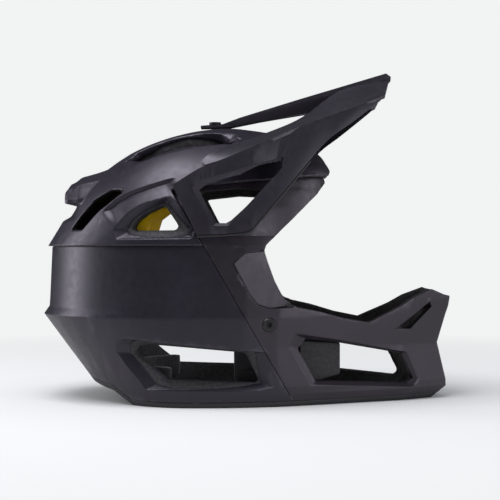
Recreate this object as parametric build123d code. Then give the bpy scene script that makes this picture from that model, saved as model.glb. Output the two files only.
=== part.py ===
from build123d import *
import os
from math import copysign, cos, hypot, pi, sin

# Driving sizes in millimetres. +X looks forward, +Z up, the helmet stands on its base.
LENGTH = 372.0        # rear ridge to the nose of the chin bar
HALF_WIDTH = 118.0    # middle plane to the widest place of the shells
CROWN_Z = 246.5       # base to the top of the crown
SEAM_Z = 138.0        # level of the seam between crown shell and rear shell
OVER = 12.0           # how far a cutting solid runs past what it cuts

# Layers from outside to inside
SHELL_T = 3.0         # moulded shell
FOAM_IN = 28.0        # outer surface to the inner face of the impact foam
LINER_GAP = 0.4       # foam to slip liner
LINER_T = 1.2         # slip liner sheet
PAD_GAP = 0.4         # slip liner to comfort pads
PAD_T = 7.0           # comfort pads
SEAM_GAP = 0.6        # visible gap between neighbouring shells
FRAME_T = 8.0         # depth of the moulded frame round a vent
ARM_RECESS = 7.0      # how far the temple lies under the visor arms

# Visor
VISOR_T = 3.0
SPINE_HALF = 8.5
PIVOT_X = -36.5
PIVOT_Z = 154.5
PIVOT_R = 3.5
PIVOT_CLEAR = 0.05
BUSH_T = 1.5
BUSH_FLANGE_T = 1.0
BOSS_R = 6.5
MOVE_CLEAR = 0.5

# Fasteners
SCREW_R = 5.8
SCREW_HEAD_T = 2.4
SCREW_SHANK_R = 2.5
SCREW_SHANK_LEN = 9.0
SOCKET_R = 2.2
SOCKET_DEPTH = 1.4
TAB_SCREW_R = 5.4
TAB_SCREW_T = 2.2

# Fit system
CRADLE_T = 2.4
CRADLE_Z = 84.0
CRADLE_H = 20.0
DIAL_R = 16.0
DIAL_T = 7.0
DIAL_RIBS = 18
DIAL_RIB_R = 1.2
DIAL_Z = 84.0
HOUSING_R = 18.5
HOUSING_T = 5.0
AXLE_R = 3.0
AXLE_CLEAR = 0.06
GUIDE_LEN = 16.0
GUIDE_WALL = 2.4
SLIDE_CLEAR = 0.35

# Chin strap
STRAP_W = 20.0
STRAP_T = 1.8
STRAP_X = 2.0
STRAP_PAD_T = 4.0
STRAP_PAD_W = 25.0
BUCKLE_W = 26.0
BUCKLE_L = 21.0
BUCKLE_T = 8.0
BUTTON_TRAVEL = 3.0
RIVET_R = 6.5
RIVET_T = 2.2

# Lower edge trim
TRIM_H = 5.0
TRIM_T = 5.0

ARM_STATION = 6       # station of the visor's side where its arm begins

# Inner pieces
CHEEK_WALL_T = 4.0    # moulded wall round the facets of the cheek
SLIVER_SHARE = 0.002
BROW_PAD_SHARES = (0.03, 0.62, 0.72)
CHEEK_PAD_OUTER_SHARE = 0.76
CHEEK_PAD_INNER_SHARE = 0.47
HOUSING_SHARE = 0.049
DIAL_DISH_SHARE = 0.6
RELEASE_BACK_SHARE = 0.55
RELEASE_SEAT_SHARE = 0.65
FIT_GAP = 0.3
CHIN_FOAM_IN = 24.0
PAD_CORNER_R = 7.0
ANCHOR_R = 5.0
NECK_ROLL_T = 12.0
NECK_ROLL_Z = 12.0
NECK_ROLL_H = 22.0
NECK_ROLL_FRONT_SHARE = -0.170
NECK_LEVEL_SHARES = (0.000, -0.372, 0.490, 0.930)
SCREW_SINK = 1.6
BUSH_LEN = 14.0
BUSH_OUTER_Y = HALF_WIDTH - ARM_RECESS + BUSH_FLANGE_T
PAD_LEVEL_SHARE = 0.80
CRADLE_REAR_SHARE = 0.392
CRADLE_ARC_SHARE = 0.255
CRADLE_END_SHARE = 0.125
CRADLE_HALF_SHARE = 0.630
GUIDE_SHARE = 0.190
CRADLE_WINDOW_SHARES = [-0.09, 0.09]
TAB_SCREW_SHARE = (-0.077, 1.018)
STANDING = (Align.CENTER, Align.CENTER, Align.MIN)
BASE_LINE_SHARES = [(-0.560, 0.072), (-0.372, 0.066), (-0.311, 0.048), (-0.263, 0.000), (0.560, 0.000)]
LINER_HOLE_SHARES = [(-0.236, 0.600), (-0.222, 0.665), (-0.200, 0.690), (-0.150, 0.690), (-0.130, 0.600)]
ANCHOR_SHARES = [(-0.330, 0.0), (0.010, 0.0), (-0.170, 0.50), (-0.170, -0.50)]
CROWN_PAD_PLANS = [
    [(-0.310, -0.10), (0.120, -0.10), (0.120, 0.10), (-0.310, 0.10)],
    [(-0.280, 0.22), (0.060, 0.22), (0.060, 0.44), (-0.280, 0.44)],
    [(-0.280, -0.44), (0.060, -0.44), (0.060, -0.22), (-0.280, -0.22)],
]
CHEEK_PAD_SHARES = [(0.072, 0.060), (0.170, 0.060), (0.205, 0.180), (0.175, 0.300), (0.100, 0.400),
                    (0.066, 0.360)]
CUSHION_SHARES = [(0.0, 0.93), (0.35, 1.0), (0.80, 0.90), (1.0, 0.66)]
STRAP_SHARES = [(0.681, 0.290), (0.675, 0.200), (0.630, 0.120), (0.540, 0.074), (0.300, 0.046),
                (0.060, 0.046)]
STRAP_PAD_FROM = 1
STRAP_PAD_TO = 5
CHEEK_SCREW_PLACE_SHARES = (0.054, 0.929, 0.288)
CHEEK_SCREW_TURN = 14.0

# Plan of a level: widest place, then straight runs of the cheek and chin bar, as shares of
# the distance from the widest place to the nose and of the half width of the level.
MID_SHARE = -0.121
CHEEK_SHARES = [(0.100, 0.995), (0.195, 0.975), (0.325, 0.912), (0.433, 0.822), (0.845, 0.424), (1.0, 0.195)]
ROUNDNESS = 2.1
BACK_STEPS = 9        # straight runs in a quarter of the lower hull
FINE_STEPS = 18       # straight runs in half a turn of the crown, outer layers
COARSE_STEPS = 9      # the same for the hidden layers

# Levels of the lower hull: height, rear, front, half width, as shares of the driving sizes
LOW_LEVELS_SHARES = [
    (0.000, -0.339, 0.456, 0.920),
    (0.045, -0.366, 0.491, 0.935),
    (0.069, -0.379, 0.4905, 0.945),
    (0.205, -0.447, 0.469, 0.980),
    (0.312, -0.500, 0.490, 1.000),
    (0.340, -0.487, 0.4965, 0.995),
    (0.370, -0.4855, 0.500, 0.993),
    (0.560, -0.480, 0.500, 0.985),
    (0.600, -0.480, 0.500, 0.980),
]

# Levels of the crown: height, rear, middle, front, half width
CROWN_LEVELS_SHARES = [
    (0.560, -0.491, -0.121, 0.212, 1.000),
    (0.621, -0.466, -0.121, 0.216, 0.995),
    (0.710, -0.430, -0.121, 0.218, 0.957),
    (0.771, -0.398, -0.121, 0.217, 0.902),
    (0.824, -0.361, -0.119, 0.213, 0.826),
    (0.868, -0.323, -0.114, 0.199, 0.737),
    (0.907, -0.283, -0.105, 0.178, 0.630),
    (0.939, -0.238, -0.093, 0.146, 0.520),
    (0.966, -0.188, -0.080, 0.103, 0.395),
    (0.986, -0.137, -0.065, 0.049, 0.255),
    (1.000, -0.085, -0.048, -0.012, 0.090),
]

# Outlines in the side view, as shares of length and crown height
SEAM_LINE_SHARES = [(-0.171, 0.757), (-0.108, 0.594), (0.010, 0.283), (0.1175, 0.000)]
EYE_PORT_SHARES = [
    (0.206, 0.840), (0.200, 0.810), (0.172, 0.751), (0.137, 0.698), (0.103, 0.647), (0.061, 0.584),
    (0.047, 0.563), (0.043, 0.543), (0.051, 0.505), (0.067, 0.439), (0.081, 0.398), (0.096, 0.362),
    (0.121, 0.345), (0.172, 0.329), (0.232, 0.303), (0.293, 0.286), (0.369, 0.340), (0.405, 0.373),
    (0.452, 0.403), (0.494, 0.377), (0.560, 0.377), (0.560, 0.840)]
CHEEK_FACET_SHARES = [(-0.026, 0.498), (-0.001, 0.536), (0.060, 0.552), (0.120, 0.430), (0.110, 0.345),
                      (0.056, 0.343), (0.028, 0.357), (0.010, 0.392)]
LEDGE_SHARE = 0.594

# Tail: place along, half width and top of each section
TAIL_SHARES = [(-0.300, 0.56, 0.872), (-0.363, 0.50, 0.838), (-0.402, 0.46, 0.8215), (-0.440, 0.42, 0.795),
               (-0.4485, 0.40, 0.775)]
TAIL_FLOOR_SHARE = 0.714
TAIL_ARCH_SHARE = 0.86

# Vents: outer outline of the recess and outline of the hole, point by point
SIDE_VENT_OUTER_SHARES = [(-0.314, 0.612), (-0.279, 0.685), (-0.250, 0.706), (-0.172, 0.736),
                          (-0.114, 0.612), (-0.122, 0.587), (-0.296, 0.584)]
SIDE_VENT_HOLE_SHARES = [(-0.266, 0.622), (-0.257, 0.645), (-0.229, 0.677), (-0.190, 0.704),
                         (-0.158, 0.632), (-0.160, 0.615), (-0.262, 0.613)]
REAR_VENT_OUTER_SHARES = [(-0.332, 0.190), (-0.305, 0.226), (-0.275, 0.240), (0.051, 0.192),
                          (0.086, 0.059), (-0.233, 0.061)]
REAR_VENT_HOLE_SHARES = [(-0.259, 0.189), (-0.246, 0.211), (-0.228, 0.217), (-0.002, 0.188),
                         (0.031, 0.085), (-0.182, 0.095)]
CHIN_VENT_OUTER_SHARES = [(0.079, 0.229), (0.102, 0.266), (0.220, 0.237), (0.414, 0.183),
                          (0.452, 0.063), (0.433, 0.032), (0.146, 0.052)]
CHIN_VENT_HOLE_SHARES = [(0.130, 0.202), (0.149, 0.235), (0.232, 0.218), (0.385, 0.172),
                         (0.414, 0.080), (0.395, 0.063), (0.172, 0.085)]
REAR_SLOT_SHARES = [(-0.274, 0.755), (-0.312, 0.757), (-0.354, 0.723), (-0.390, 0.660), (-0.412, 0.617),
                    (-0.382, 0.617), (-0.338, 0.686), (-0.295, 0.735)]
TEMPLE_VENT_SHARES = [(-0.108, 0.748), (-0.020, 0.762), (0.038, 0.757), (0.010, 0.707), (-0.028, 0.637),
                      (-0.065, 0.637)]
NOSE_SLIT_SHARES = [(0.358, 0.262), (0.394, 0.300), (0.447, 0.359), (0.452, 0.340), (0.396, 0.260)]
TOP_SLOT_SHARES = [(-0.330, 0.02), (-0.300, 0.10), (-0.200, 0.13), (-0.160, 0.03)]
CROWN_SLOT_PLAN_SHARES = [(-0.010, 0.46), (-0.060, 0.36), (-0.160, 0.34), (-0.260, 0.36), (-0.290, 0.44),
                          (-0.240, 0.50), (-0.140, 0.50), (-0.050, 0.50)]
CHIN_PLAN_NEAR = (0.130, 0.850)
CHIN_PLAN_FAR = (0.400, 0.430)
FACET_ANGLE = 24.0
FACET_START_SHARE = 0.985
TEMPLE_TOP_SHARES = [(-0.171, 0.757), (0.010, 0.785), (0.110, 0.802), (0.215, 0.822)]

# Visor: inner edge or spine foot, ridge and lower edge, as shares of length, half width, crown height
VISOR_TOP_SHARES = [
    ((0.350, 0.000, 1.200), (0.332, 0.407, 1.108)),
    ((0.235, 0.000, 1.157), (0.223, 0.593, 1.038)),
    ((0.141, 0.085, 1.045), (0.126, 0.780, 0.978)),
    ((0.044, 0.508, 0.964), (0.056, 0.898, 0.929)),
    ((-0.069, 0.900, 0.888), (-0.046, 0.983, 0.861)),
    ((-0.103, 0.966, 0.850), (-0.090, 0.998, 0.838)),
]
VISOR_SIDE_SHARES = [
    ((0.332, 0.407, 1.108), (0.324, 0.425, 1.088)),
    ((0.304, 0.450, 1.093), (0.298, 0.475, 1.056)),
    ((0.270, 0.517, 1.066), (0.246, 0.580, 0.995)),
    ((0.223, 0.593, 1.038), (0.197, 0.700, 0.940)),
    ((0.172, 0.710, 1.006), (0.149, 0.820, 0.860)),
    ((0.126, 0.780, 0.978), (0.090, 0.935, 0.752)),
    ((0.056, 0.898, 0.929), (0.025, 1.005, 0.637)),
    ((0.010, 0.950, 0.898), (0.006, 1.018, 0.611)),
    ((-0.046, 0.985, 0.861), (-0.040, 1.025, 0.602)),
    ((-0.103, 1.000, 0.827), (-0.080, 1.025, 0.599)),
    ((-0.166, 1.008, 0.768), (-0.110, 1.025, 0.597)),
]
WINDOW_HOLE_SHARES = [(-0.105, 0.751), (-0.087, 0.772), (-0.012, 0.802), (0.080, 0.838), (0.074, 0.823),
                      (-0.033, 0.647), (-0.044, 0.638), (-0.067, 0.638)]
SPINE_SHARES = [
    (-0.112, 1.012), (-0.095, 1.014), (-0.057, 1.018), (-0.015, 1.042), (0.135, 1.112), (0.235, 1.157),
    (0.348, 1.208), (0.360, 1.195), (0.359, 1.178), (0.345, 1.180), (0.235, 1.135), (0.153, 1.059),
    (0.085, 1.042), (0.035, 1.029), (-0.040, 1.006), (-0.112, 1.0035)]

WIDE = HALF_WIDTH + OVER
REACH = LENGTH + OVER


# Shared helpers

def at(share):
    """Place in the side view of a pair of shares."""
    return (LENGTH * share[0], CROWN_Z * share[1])


def in_space(share):
    """Place on the left of three shares."""
    return (LENGTH * share[0], HALF_WIDTH * share[1], CROWN_Z * share[2])


def side_face(shares):
    """Flat face in the middle plane with a side view outline."""
    return Plane.XZ * Polygon(*[at(share) for share in shares], align=None)


def through(shares):
    """Solid across the whole width with a side view outline."""
    return extrude(side_face(shares), amount=WIDE, both=True)


def on_right(shares):
    """Solid from the middle plane out through the right side with a side view outline."""
    return extrude(side_face(shares), amount=WIDE, dir=(0, -1, 0))


def both_sides(shape):
    """A shape of the right side with its mirror image."""
    return shape + mirror(shape, about=Plane.XZ)


def block(x0, x1, y0, y1, z0, z1):
    """Box between two corners."""
    box = Box(x1 - x0, y1 - y0, z1 - z0)
    return Pos((x0 + x1) / 2, (y0 + y1) / 2, (z0 + z1) / 2) * box


def solids_of(shape):
    """The separate solids of a result, without slivers."""
    found = shape.solids()
    largest = max(solid.volume for solid in found)
    return Compound(children=[solid for solid in found if solid.volume > largest * SLIVER_SHARE])


def skin(rings):
    """Closed solid through rings of equally many places, with flat facets between them."""
    faces = [Face(Wire.make_polygon(rings[0])), Face(Wire.make_polygon(rings[-1]))]
    for low, high in zip(rings, rings[1:]):
        for index, corner in enumerate(low):
            after = (index + 1) % len(low)
            faces.append(Face(Wire.make_polygon([corner, low[after], high[after]])))
            faces.append(Face(Wire.make_polygon([corner, high[after], high[index]])))
    return Solid(Shell(faces))


# Hull of the helmet, as nested layers

def low_ring(level, inset):
    """Closed outline of the lower hull at one level, drawn in by an inset."""
    z_share, rear_share, front_share, half_share = level
    middle = LENGTH * MID_SHARE
    rear = LENGTH * rear_share + inset
    half = HALF_WIDTH * half_share - inset
    run = LENGTH * front_share - inset - middle
    z = CROWN_Z * z_share
    angles = [pi / 2 * step / BACK_STEPS for step in range(BACK_STEPS + 1)]

    def front_point(share):
        return (middle + run * share[0], -half * share[1])

    right = [(middle - (middle - rear) * cos(angle) ** (2 / ROUNDNESS),
              -half * sin(angle) ** (2 / ROUNDNESS)) for angle in angles]
    right = right + [front_point(share) for share in CHEEK_SHARES]
    left = [(x, -y) for x, y in reversed(right[1:])]
    return [(x, y, z) for x, y in right + left]


def low_hull(inset):
    """Solid inside of the lower hull, from the base to the ledge under the visor arms."""
    return skin([low_ring(level, inset) for level in LOW_LEVELS_SHARES])


def crown_ring(level, inset, steps):
    """Closed outline of the crown at one level, drawn in by an inset at the equator."""
    z_share, rear_share, middle_share, front_share, half_share = level
    base = CROWN_LEVELS_SHARES[0]
    rear_reach = LENGTH * (base[2] - base[1])
    front_reach = LENGTH * (CROWN_LEVELS_SHARES[2][3] - base[2])
    rise = CROWN_Z - SEAM_Z
    middle = LENGTH * middle_share
    rear = middle - LENGTH * (middle_share - rear_share) * (rear_reach - inset) / rear_reach
    front = middle + LENGTH * (front_share - middle_share) * (front_reach - inset) / front_reach
    half = HALF_WIDTH * half_share * (HALF_WIDTH - inset) / HALF_WIDTH
    z = SEAM_Z + (CROWN_Z * z_share - SEAM_Z) * (rise - inset) / rise
    points = []
    for step in range(steps * 2):
        angle = pi * step / steps
        along, side = cos(angle), sin(angle)
        reach = middle - rear if along > 0 else front - middle
        x = middle - copysign(reach * abs(along) ** (2 / ROUNDNESS), along)
        points.append((x, -copysign(half * abs(side) ** (2 / ROUNDNESS), side), z))
    return points


def crown_hull(inset, fine=True):
    """Solid inside of the crown above the seam."""
    levels = CROWN_LEVELS_SHARES if fine else CROWN_LEVELS_SHARES[::2]
    steps = FINE_STEPS if fine else COARSE_STEPS
    return skin([crown_ring(level, inset, steps) for level in levels])


def tail():
    """Blunt rear lip of the crown, arched across, over the neck slots."""
    sections = []
    for x, half, top in TAIL_SHARES:
        arch = [(0.5, 0.10), (0.85, 0.42), (1.0, 1.0)]
        drop = CROWN_Z * (top - TAIL_FLOOR_SHARE)
        right = [(-HALF_WIDTH * half * y, CROWN_Z * top - drop * fall * TAIL_ARCH_SHARE) for y, fall in arch]
        left = [(-y, z) for y, z in reversed(right)]
        floor = CROWN_Z * TAIL_FLOOR_SHARE
        edge = HALF_WIDTH * half
        places = left + [(0, CROWN_Z * top)] + right + [(-edge, floor), (edge, floor)]
        sections.append([(LENGTH * x, y, z) for y, z in places])
    return skin(sections)


def seam_side(rear_part, gap):
    """Everything behind or in front of the slanted seam, short of it by a gap."""
    shift = -gap if rear_part else gap
    line = [(LENGTH * x + shift, CROWN_Z * z) for x, z in SEAM_LINE_SHARES]
    first, last = line[0], line[-1]
    slope = (line[1][0] - first[0]) / (line[1][1] - first[1])
    top = (first[0] + slope * (CROWN_Z - first[1]), CROWN_Z)
    end = -REACH if rear_part else REACH
    outline = [top] + line + [(last[0], -OVER), (end, -OVER), (end, CROWN_Z)]
    return extrude(Plane.XZ * Polygon(*outline, align=None), amount=WIDE, both=True)


def temple_zone(gap):
    """Space in front of the slanted seam and under the crown shell, short of both by a gap."""
    seam = [(LENGTH * x + gap, CROWN_Z * z) for x, z in SEAM_LINE_SHARES[:3]]
    top = [(LENGTH * x + gap, CROWN_Z * z - gap) for x, z in TEMPLE_TOP_SHARES]
    front = [(top[-1][0] + REACH, top[-1][1]), (top[-1][0] + REACH, seam[-1][1])]
    outline = seam[::-1] + top[1:] + front
    return extrude(Plane.XZ * Polygon(*outline, align=None), amount=WIDE, both=True)


# Layers that several pieces share, outside first

LINER_OUT = FOAM_IN + LINER_GAP
LINER_IN = LINER_OUT + LINER_T
PAD_OUT = LINER_IN + PAD_GAP
PAD_IN = PAD_OUT + PAD_T

LOW_OUT = low_hull(0)
LOW_SKIN = low_hull(SHELL_T)
LOW_WALL = low_hull(CHEEK_WALL_T)
LOW_FRAME = low_hull(FRAME_T)
LOW_CAVITY = low_hull(FOAM_IN)
CROWN_OUT = crown_hull(0)
CROWN_SKIN = crown_hull(SHELL_T)
CROWN_FRAME = crown_hull(FRAME_T)
CROWN_CAVITY = crown_hull(FOAM_IN, fine=False)
PORT = through(EYE_PORT_SHARES)
REAR_ZONE = seam_side(True, SEAM_GAP / 2)
FRONT_ZONE = seam_side(False, SEAM_GAP / 2)
LEDGE_Z = CROWN_Z * LEDGE_SHARE
BELOW_LEDGE = block(-REACH, REACH, -WIDE, WIDE, -OVER, LEDGE_Z)
REAR_SLOT = through(REAR_SLOT_SHARES)
TEMPLE = temple_zone(SEAM_GAP / 2)
NOT_CROWN = temple_zone(-SEAM_GAP / 2)
ABOVE_SEAM = block(-REACH, REACH, -WIDE, WIDE, SEAM_Z, REACH)


# Vents

def wall_plane(near, far):
    """Upright plane on the right through two places of the plan, facing outwards."""
    ax, ay = LENGTH * near[0], -HALF_WIDTH * near[1]
    bx, by = LENGTH * far[0], -HALF_WIDTH * far[1]
    run = hypot(bx - ax, by - ay)
    across = ((bx - ax) / run, (by - ay) / run, 0)
    outwards = (across[1], -across[0], 0)
    return Plane(origin=(ax, ay, 0), x_dir=across, z_dir=outwards), across[0]


def vent_cutter(outer, hole, near, far, depth, reach):
    """Recess that narrows from the outer outline to the hole, then the hole itself."""
    plane, lean = wall_plane(near, far)
    start = LENGTH * near[0]

    def outline(shares, height):
        points = [((LENGTH * x - start) / lean, CROWN_Z * z) for x, z in shares]
        return plane * Pos(0, 0, height) * Polygon(*points, align=None)

    outside = extrude(outline(outer, 0), amount=WIDE / 2, dir=plane.z_dir)
    funnel = loft([outline(outer, 0), outline(hole, -depth)], ruled=True)
    passage = extrude(outline(hole, -depth), amount=reach, dir=-plane.z_dir)
    return outside + funnel + passage


def vent_frame(outer, grow):
    """Through solid a little larger than a vent outline, for the moulded frame round it."""
    wire = Polygon(*[at(share) for share in outer], align=None)
    larger = offset(wire, amount=grow, kind=Kind.INTERSECTION)
    return extrude(Plane.XZ * larger, amount=WIDE, both=True)


SIDE_VENT = both_sides(vent_cutter(SIDE_VENT_OUTER_SHARES, SIDE_VENT_HOLE_SHARES,
                                   (-0.300, 0.880), (-0.120, 0.960), FRAME_T, FOAM_IN * 2))
REAR_VENT = both_sides(vent_cutter(REAR_VENT_OUTER_SHARES, REAR_VENT_HOLE_SHARES,
                                   (-0.300, 0.860), (0.080, 0.900), FRAME_T, FOAM_IN * 2))
CHIN_VENT = both_sides(vent_cutter(CHIN_VENT_OUTER_SHARES, CHIN_VENT_HOLE_SHARES,
                                   CHIN_PLAN_NEAR, CHIN_PLAN_FAR, FRAME_T, FOAM_IN * 2))
NOSE_SLIT = both_sides(on_right(NOSE_SLIT_SHARES))
TEMPLE_VENT = through(TEMPLE_VENT_SHARES)


def crown_slots():
    """Long slots along both sides of the crown, cut straight down."""
    outline = [(LENGTH * x, -HALF_WIDTH * y) for x, y in CROWN_SLOT_PLAN_SHARES]
    slot = extrude(Polygon(*outline, align=None), amount=REACH, both=True)
    return both_sides(slot & block(-REACH, REACH, -WIDE, WIDE, SEAM_Z, REACH))


def top_slot():
    """Middle slot of the crown, cut straight down."""
    right = [(LENGTH * x, -HALF_WIDTH * y) for x, y in TOP_SLOT_SHARES]
    left = [(x, -y) for x, y in reversed(right)]
    slot = extrude(Polygon(*(right + left), align=None), amount=REACH, both=True)
    return slot & block(-REACH, REACH, -WIDE, WIDE, SEAM_Z, REACH)


CROWN_SLOTS = crown_slots()
TOP_SLOT = top_slot()


# Shells of the root body

def crown_shell():
    """Upper shell with its tail, over the seam and behind the visor arms."""
    shell = CROWN_OUT + tail()
    hollow = CROWN_SKIN
    frame = (CROWN_OUT & vent_frame(SIDE_VENT_OUTER_SHARES, SHELL_T)) - CROWN_FRAME
    shell = (shell - hollow) + frame
    shell = shell - SIDE_VENT - REAR_SLOT - CROWN_SLOTS - TOP_SLOT - PORT - NOT_CROWN
    return solids_of(shell)


def rear_shell():
    """Lower rear shell, from the slanted seam round the back of the head."""
    frame = (LOW_OUT & vent_frame(REAR_VENT_OUTER_SHARES, SHELL_T)) - LOW_FRAME
    shell = (LOW_OUT - LOW_SKIN) + frame
    limit = block(-REACH, REACH, -WIDE, WIDE, 0, SEAM_Z - SEAM_GAP)
    shell = (shell & REAR_ZONE & limit) - REAR_VENT - below_base(TRIM_H)
    return solids_of(shell)


def facet_cut(sink):
    """Slanted cut that makes the flat facet of the cheek in front of the ear."""
    start = LENGTH * CHEEK_FACET_SHARES[0][0]
    cutter = block(0, REACH, -WIDE, 0, -OVER, CROWN_Z)
    cutter = Pos(start, sink - HALF_WIDTH * FACET_START_SHARE, 0) * Rot(0, 0, FACET_ANGLE) * cutter
    return both_sides(cutter & through(CHEEK_FACET_SHARES))


def front_shell():
    """Face frame: cheeks, temples under the visor arms and the chin bar."""
    vents = vent_frame(CHIN_VENT_OUTER_SHARES, SHELL_T) + vent_frame(REAR_VENT_OUTER_SHARES, SHELL_T)
    cheeks = ((LOW_OUT - LOW_WALL) + ((LOW_OUT & vents) - LOW_FRAME)) & BELOW_LEDGE
    shelf = LOW_OUT - low_hull(ARM_RECESS + CHEEK_WALL_T)
    shelf = shelf & block(-REACH, REACH, -WIDE, WIDE, LEDGE_Z - CHEEK_WALL_T, LEDGE_Z)
    temple = (crown_hull(ARM_RECESS) - crown_hull(ARM_RECESS + CHEEK_WALL_T)) & TEMPLE
    shell = ((cheeks + shelf) & FRONT_ZONE) + temple
    shell = shell - PORT - CHIN_VENT - REAR_VENT - NOSE_SLIT - TEMPLE_VENT
    return solids_of(shell - FACETS - below_base(TRIM_H))


# Impact foam and lining

def crown_foam():
    """Impact foam of the crown, under the crown shell and the temples."""
    foam = crown_hull(SHELL_T + FIT_GAP) - CROWN_CAVITY
    frames = vent_frame(SIDE_VENT_OUTER_SHARES, SHELL_T + FIT_GAP)
    frames = frames - crown_hull(FRAME_T + FIT_GAP)
    temples = NOT_CROWN - crown_hull(ARM_RECESS + CHEEK_WALL_T + FIT_GAP)
    shelf = seam_side(False, 0) & block(-REACH, REACH, -WIDE, WIDE, 0, LEDGE_Z + FIT_GAP)
    temples = temples + (shelf - low_hull(ARM_RECESS + CHEEK_WALL_T + FIT_GAP))
    foam = (foam & ABOVE_SEAM) - frames - temples - SIDE_VENT - REAR_SLOT
    return solids_of(foam - CROWN_SLOTS - TOP_SLOT - PORT - TEMPLE_VENT - PIVOT_HOLES)


def rear_foam():
    """Impact foam of the lower rear shell, with the pocket of the fit dial."""
    foam = low_hull(SHELL_T + FIT_GAP) - LOW_CAVITY
    limit = block(-REACH, REACH, -WIDE, WIDE, 0, SEAM_Z - FIT_GAP)
    frames = vent_frame(REAR_VENT_OUTER_SHARES, SHELL_T + FIT_GAP) - low_hull(FRAME_T + FIT_GAP)
    pocket_half = HOUSING_R + PAD_T / 2
    pocket_x = -LENGTH * CRADLE_REAR_SHARE - HOUSING_T - DIAL_T - PAD_T
    pocket = block(pocket_x, 0, -pocket_half, pocket_half, DIAL_Z - HOUSING_R * 2, DIAL_Z + pocket_half)
    foam = (foam & REAR_ZONE & limit) - frames - REAR_VENT - below_base(TRIM_H + FIT_GAP) - pocket
    return solids_of(foam)


def chin_foam():
    """Impact foam of the cheeks and of the chin bar."""
    foam = low_hull(CHEEK_WALL_T + FIT_GAP) - low_hull(CHIN_FOAM_IN)
    limit = block(-REACH, REACH, -WIDE, WIDE, TRIM_H, SEAM_Z - FIT_GAP)
    chin_frame = vent_frame(CHIN_VENT_OUTER_SHARES, SHELL_T + FIT_GAP)
    rear_frame = vent_frame(REAR_VENT_OUTER_SHARES, SHELL_T + FIT_GAP)
    frames = (chin_frame + rear_frame) - low_hull(FRAME_T + FIT_GAP)
    foam = (foam & seam_side(False, SEAM_GAP) & limit) - frames - PORT - CHIN_VENT - REAR_VENT - NOSE_SLIT
    return solids_of(foam - below_base(TRIM_H + FIT_GAP) - CHEEK_SCREW_HOLES - FACETS_DEEP)


def slip_liner():
    """Thin low friction liner inside the crown foam."""
    liner = crown_hull(LINER_OUT, fine=False) - crown_hull(LINER_IN, fine=False)
    liner = liner - PORT - TOP_SLOT - CROWN_SLOTS - TEMPLE_VENT - through(LINER_HOLE_SHARES)
    return solids_of((liner & ABOVE_SEAM) - ANCHOR_POSTS)


def anchor_posts(radius):
    """Upright posts at the four places where the slip liner is tied to the foam."""
    posts = [Pos(LENGTH * x, HALF_WIDTH * y, SEAM_Z) * Cylinder(radius, CROWN_Z, align=STANDING)
             for x, y in ANCHOR_SHARES]
    return posts[0] + posts[1:]


def liner_anchors():
    """Soft anchors that hold the slip liner."""
    layer = crown_hull(FOAM_IN, fine=False) - crown_hull(LINER_IN + PAD_GAP / 2, fine=False)
    return layer & anchor_posts(ANCHOR_R)


def crown_pad_layer():
    """Layer that the comfort pads of the crown are cut from."""
    return crown_hull(PAD_OUT, fine=False) - crown_hull(PAD_IN, fine=False)


def crown_pads(layer):
    """Three padded strips over the top of the head."""
    strips = []
    for shares in CROWN_PAD_PLANS:
        outline = Polygon(*[(LENGTH * x, HALF_WIDTH * y) for x, y in shares], align=None)
        outline = fillet(outline.vertices(), PAD_CORNER_R)
        strips.append(extrude(outline, amount=REACH, both=True))
    above = block(-REACH, REACH, -WIDE, WIDE, CROWN_Z * PAD_LEVEL_SHARE, CROWN_Z)
    return solids_of(layer & (strips[0] + strips[1:]) & above)


def brow_pad(layer):
    """Pad across the forehead."""
    back, half, low = BROW_PAD_SHARES
    zone = block(LENGTH * back, REACH, -HALF_WIDTH * half, HALF_WIDTH * half,
                 CROWN_Z * low, CROWN_Z * PAD_LEVEL_SHARE - PAD_GAP)
    return solids_of((layer & zone) - PORT)


def cushion(shares, outer_y, inner_y):
    """Crowned pad on the right side: the outline swells out of its base and draws in to its face."""
    outline = Polygon(*[at(share) for share in shares], align=None)
    outline = fillet(outline.vertices(), PAD_CORNER_R)
    centre = outline.center()
    sections = []
    for depth_share, size_share in CUSHION_SHARES:
        y = outer_y + (inner_y - outer_y) * depth_share
        sized = Pos(centre.X, centre.Y) * scale(Pos(-centre.X, -centre.Y) * outline, size_share)
        sections.append(Plane(origin=(0, -y, 0), x_dir=(1, 0, 0), z_dir=(0, -1, 0)) * sized)
    return loft(sections, ruled=True)


def cheek_pad():
    """Right cheek pad, on the inner face of the foam."""
    pad = cushion(CHEEK_PAD_SHARES, HALF_WIDTH * CHEEK_PAD_OUTER_SHARE, HALF_WIDTH * CHEEK_PAD_INNER_SHARE)
    return solids_of(pad & low_hull(FOAM_IN + PAD_GAP))


def neck_roll():
    """Padded roll round the nape, under the rear foam."""
    outer, inner = [Polygon(*[(x, y) for x, y, z in low_ring(NECK_LEVEL_SHARES, inset)], align=None)
                    for inset in (FOAM_IN + PAD_GAP, FOAM_IN + PAD_GAP + NECK_ROLL_T)]
    roll = extrude(Pos(0, 0, NECK_ROLL_Z) * (outer - inner), amount=NECK_ROLL_H)
    zone = block(-REACH, LENGTH * NECK_ROLL_FRONT_SHARE, -WIDE, WIDE, 0, CROWN_Z)
    roll = solids_of(roll & zone & LOW_CAVITY)
    return roll


# Trim and fasteners

def below_base(rise):
    """Everything under the base line of the shells, which rises at the nape."""
    line = [(LENGTH * x, CROWN_Z * z + rise) for x, z in BASE_LINE_SHARES]
    outline = line + [(line[-1][0], -OVER), (line[0][0], -OVER)]
    return extrude(Plane.XZ * Polygon(*outline, align=None), amount=WIDE, both=True)


def lower_trim():
    """Soft edging along the bottom of the shells."""
    ring = LOW_OUT - low_hull(TRIM_T + SHELL_T)
    return solids_of((ring & below_base(TRIM_H)) - below_base(0))


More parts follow.
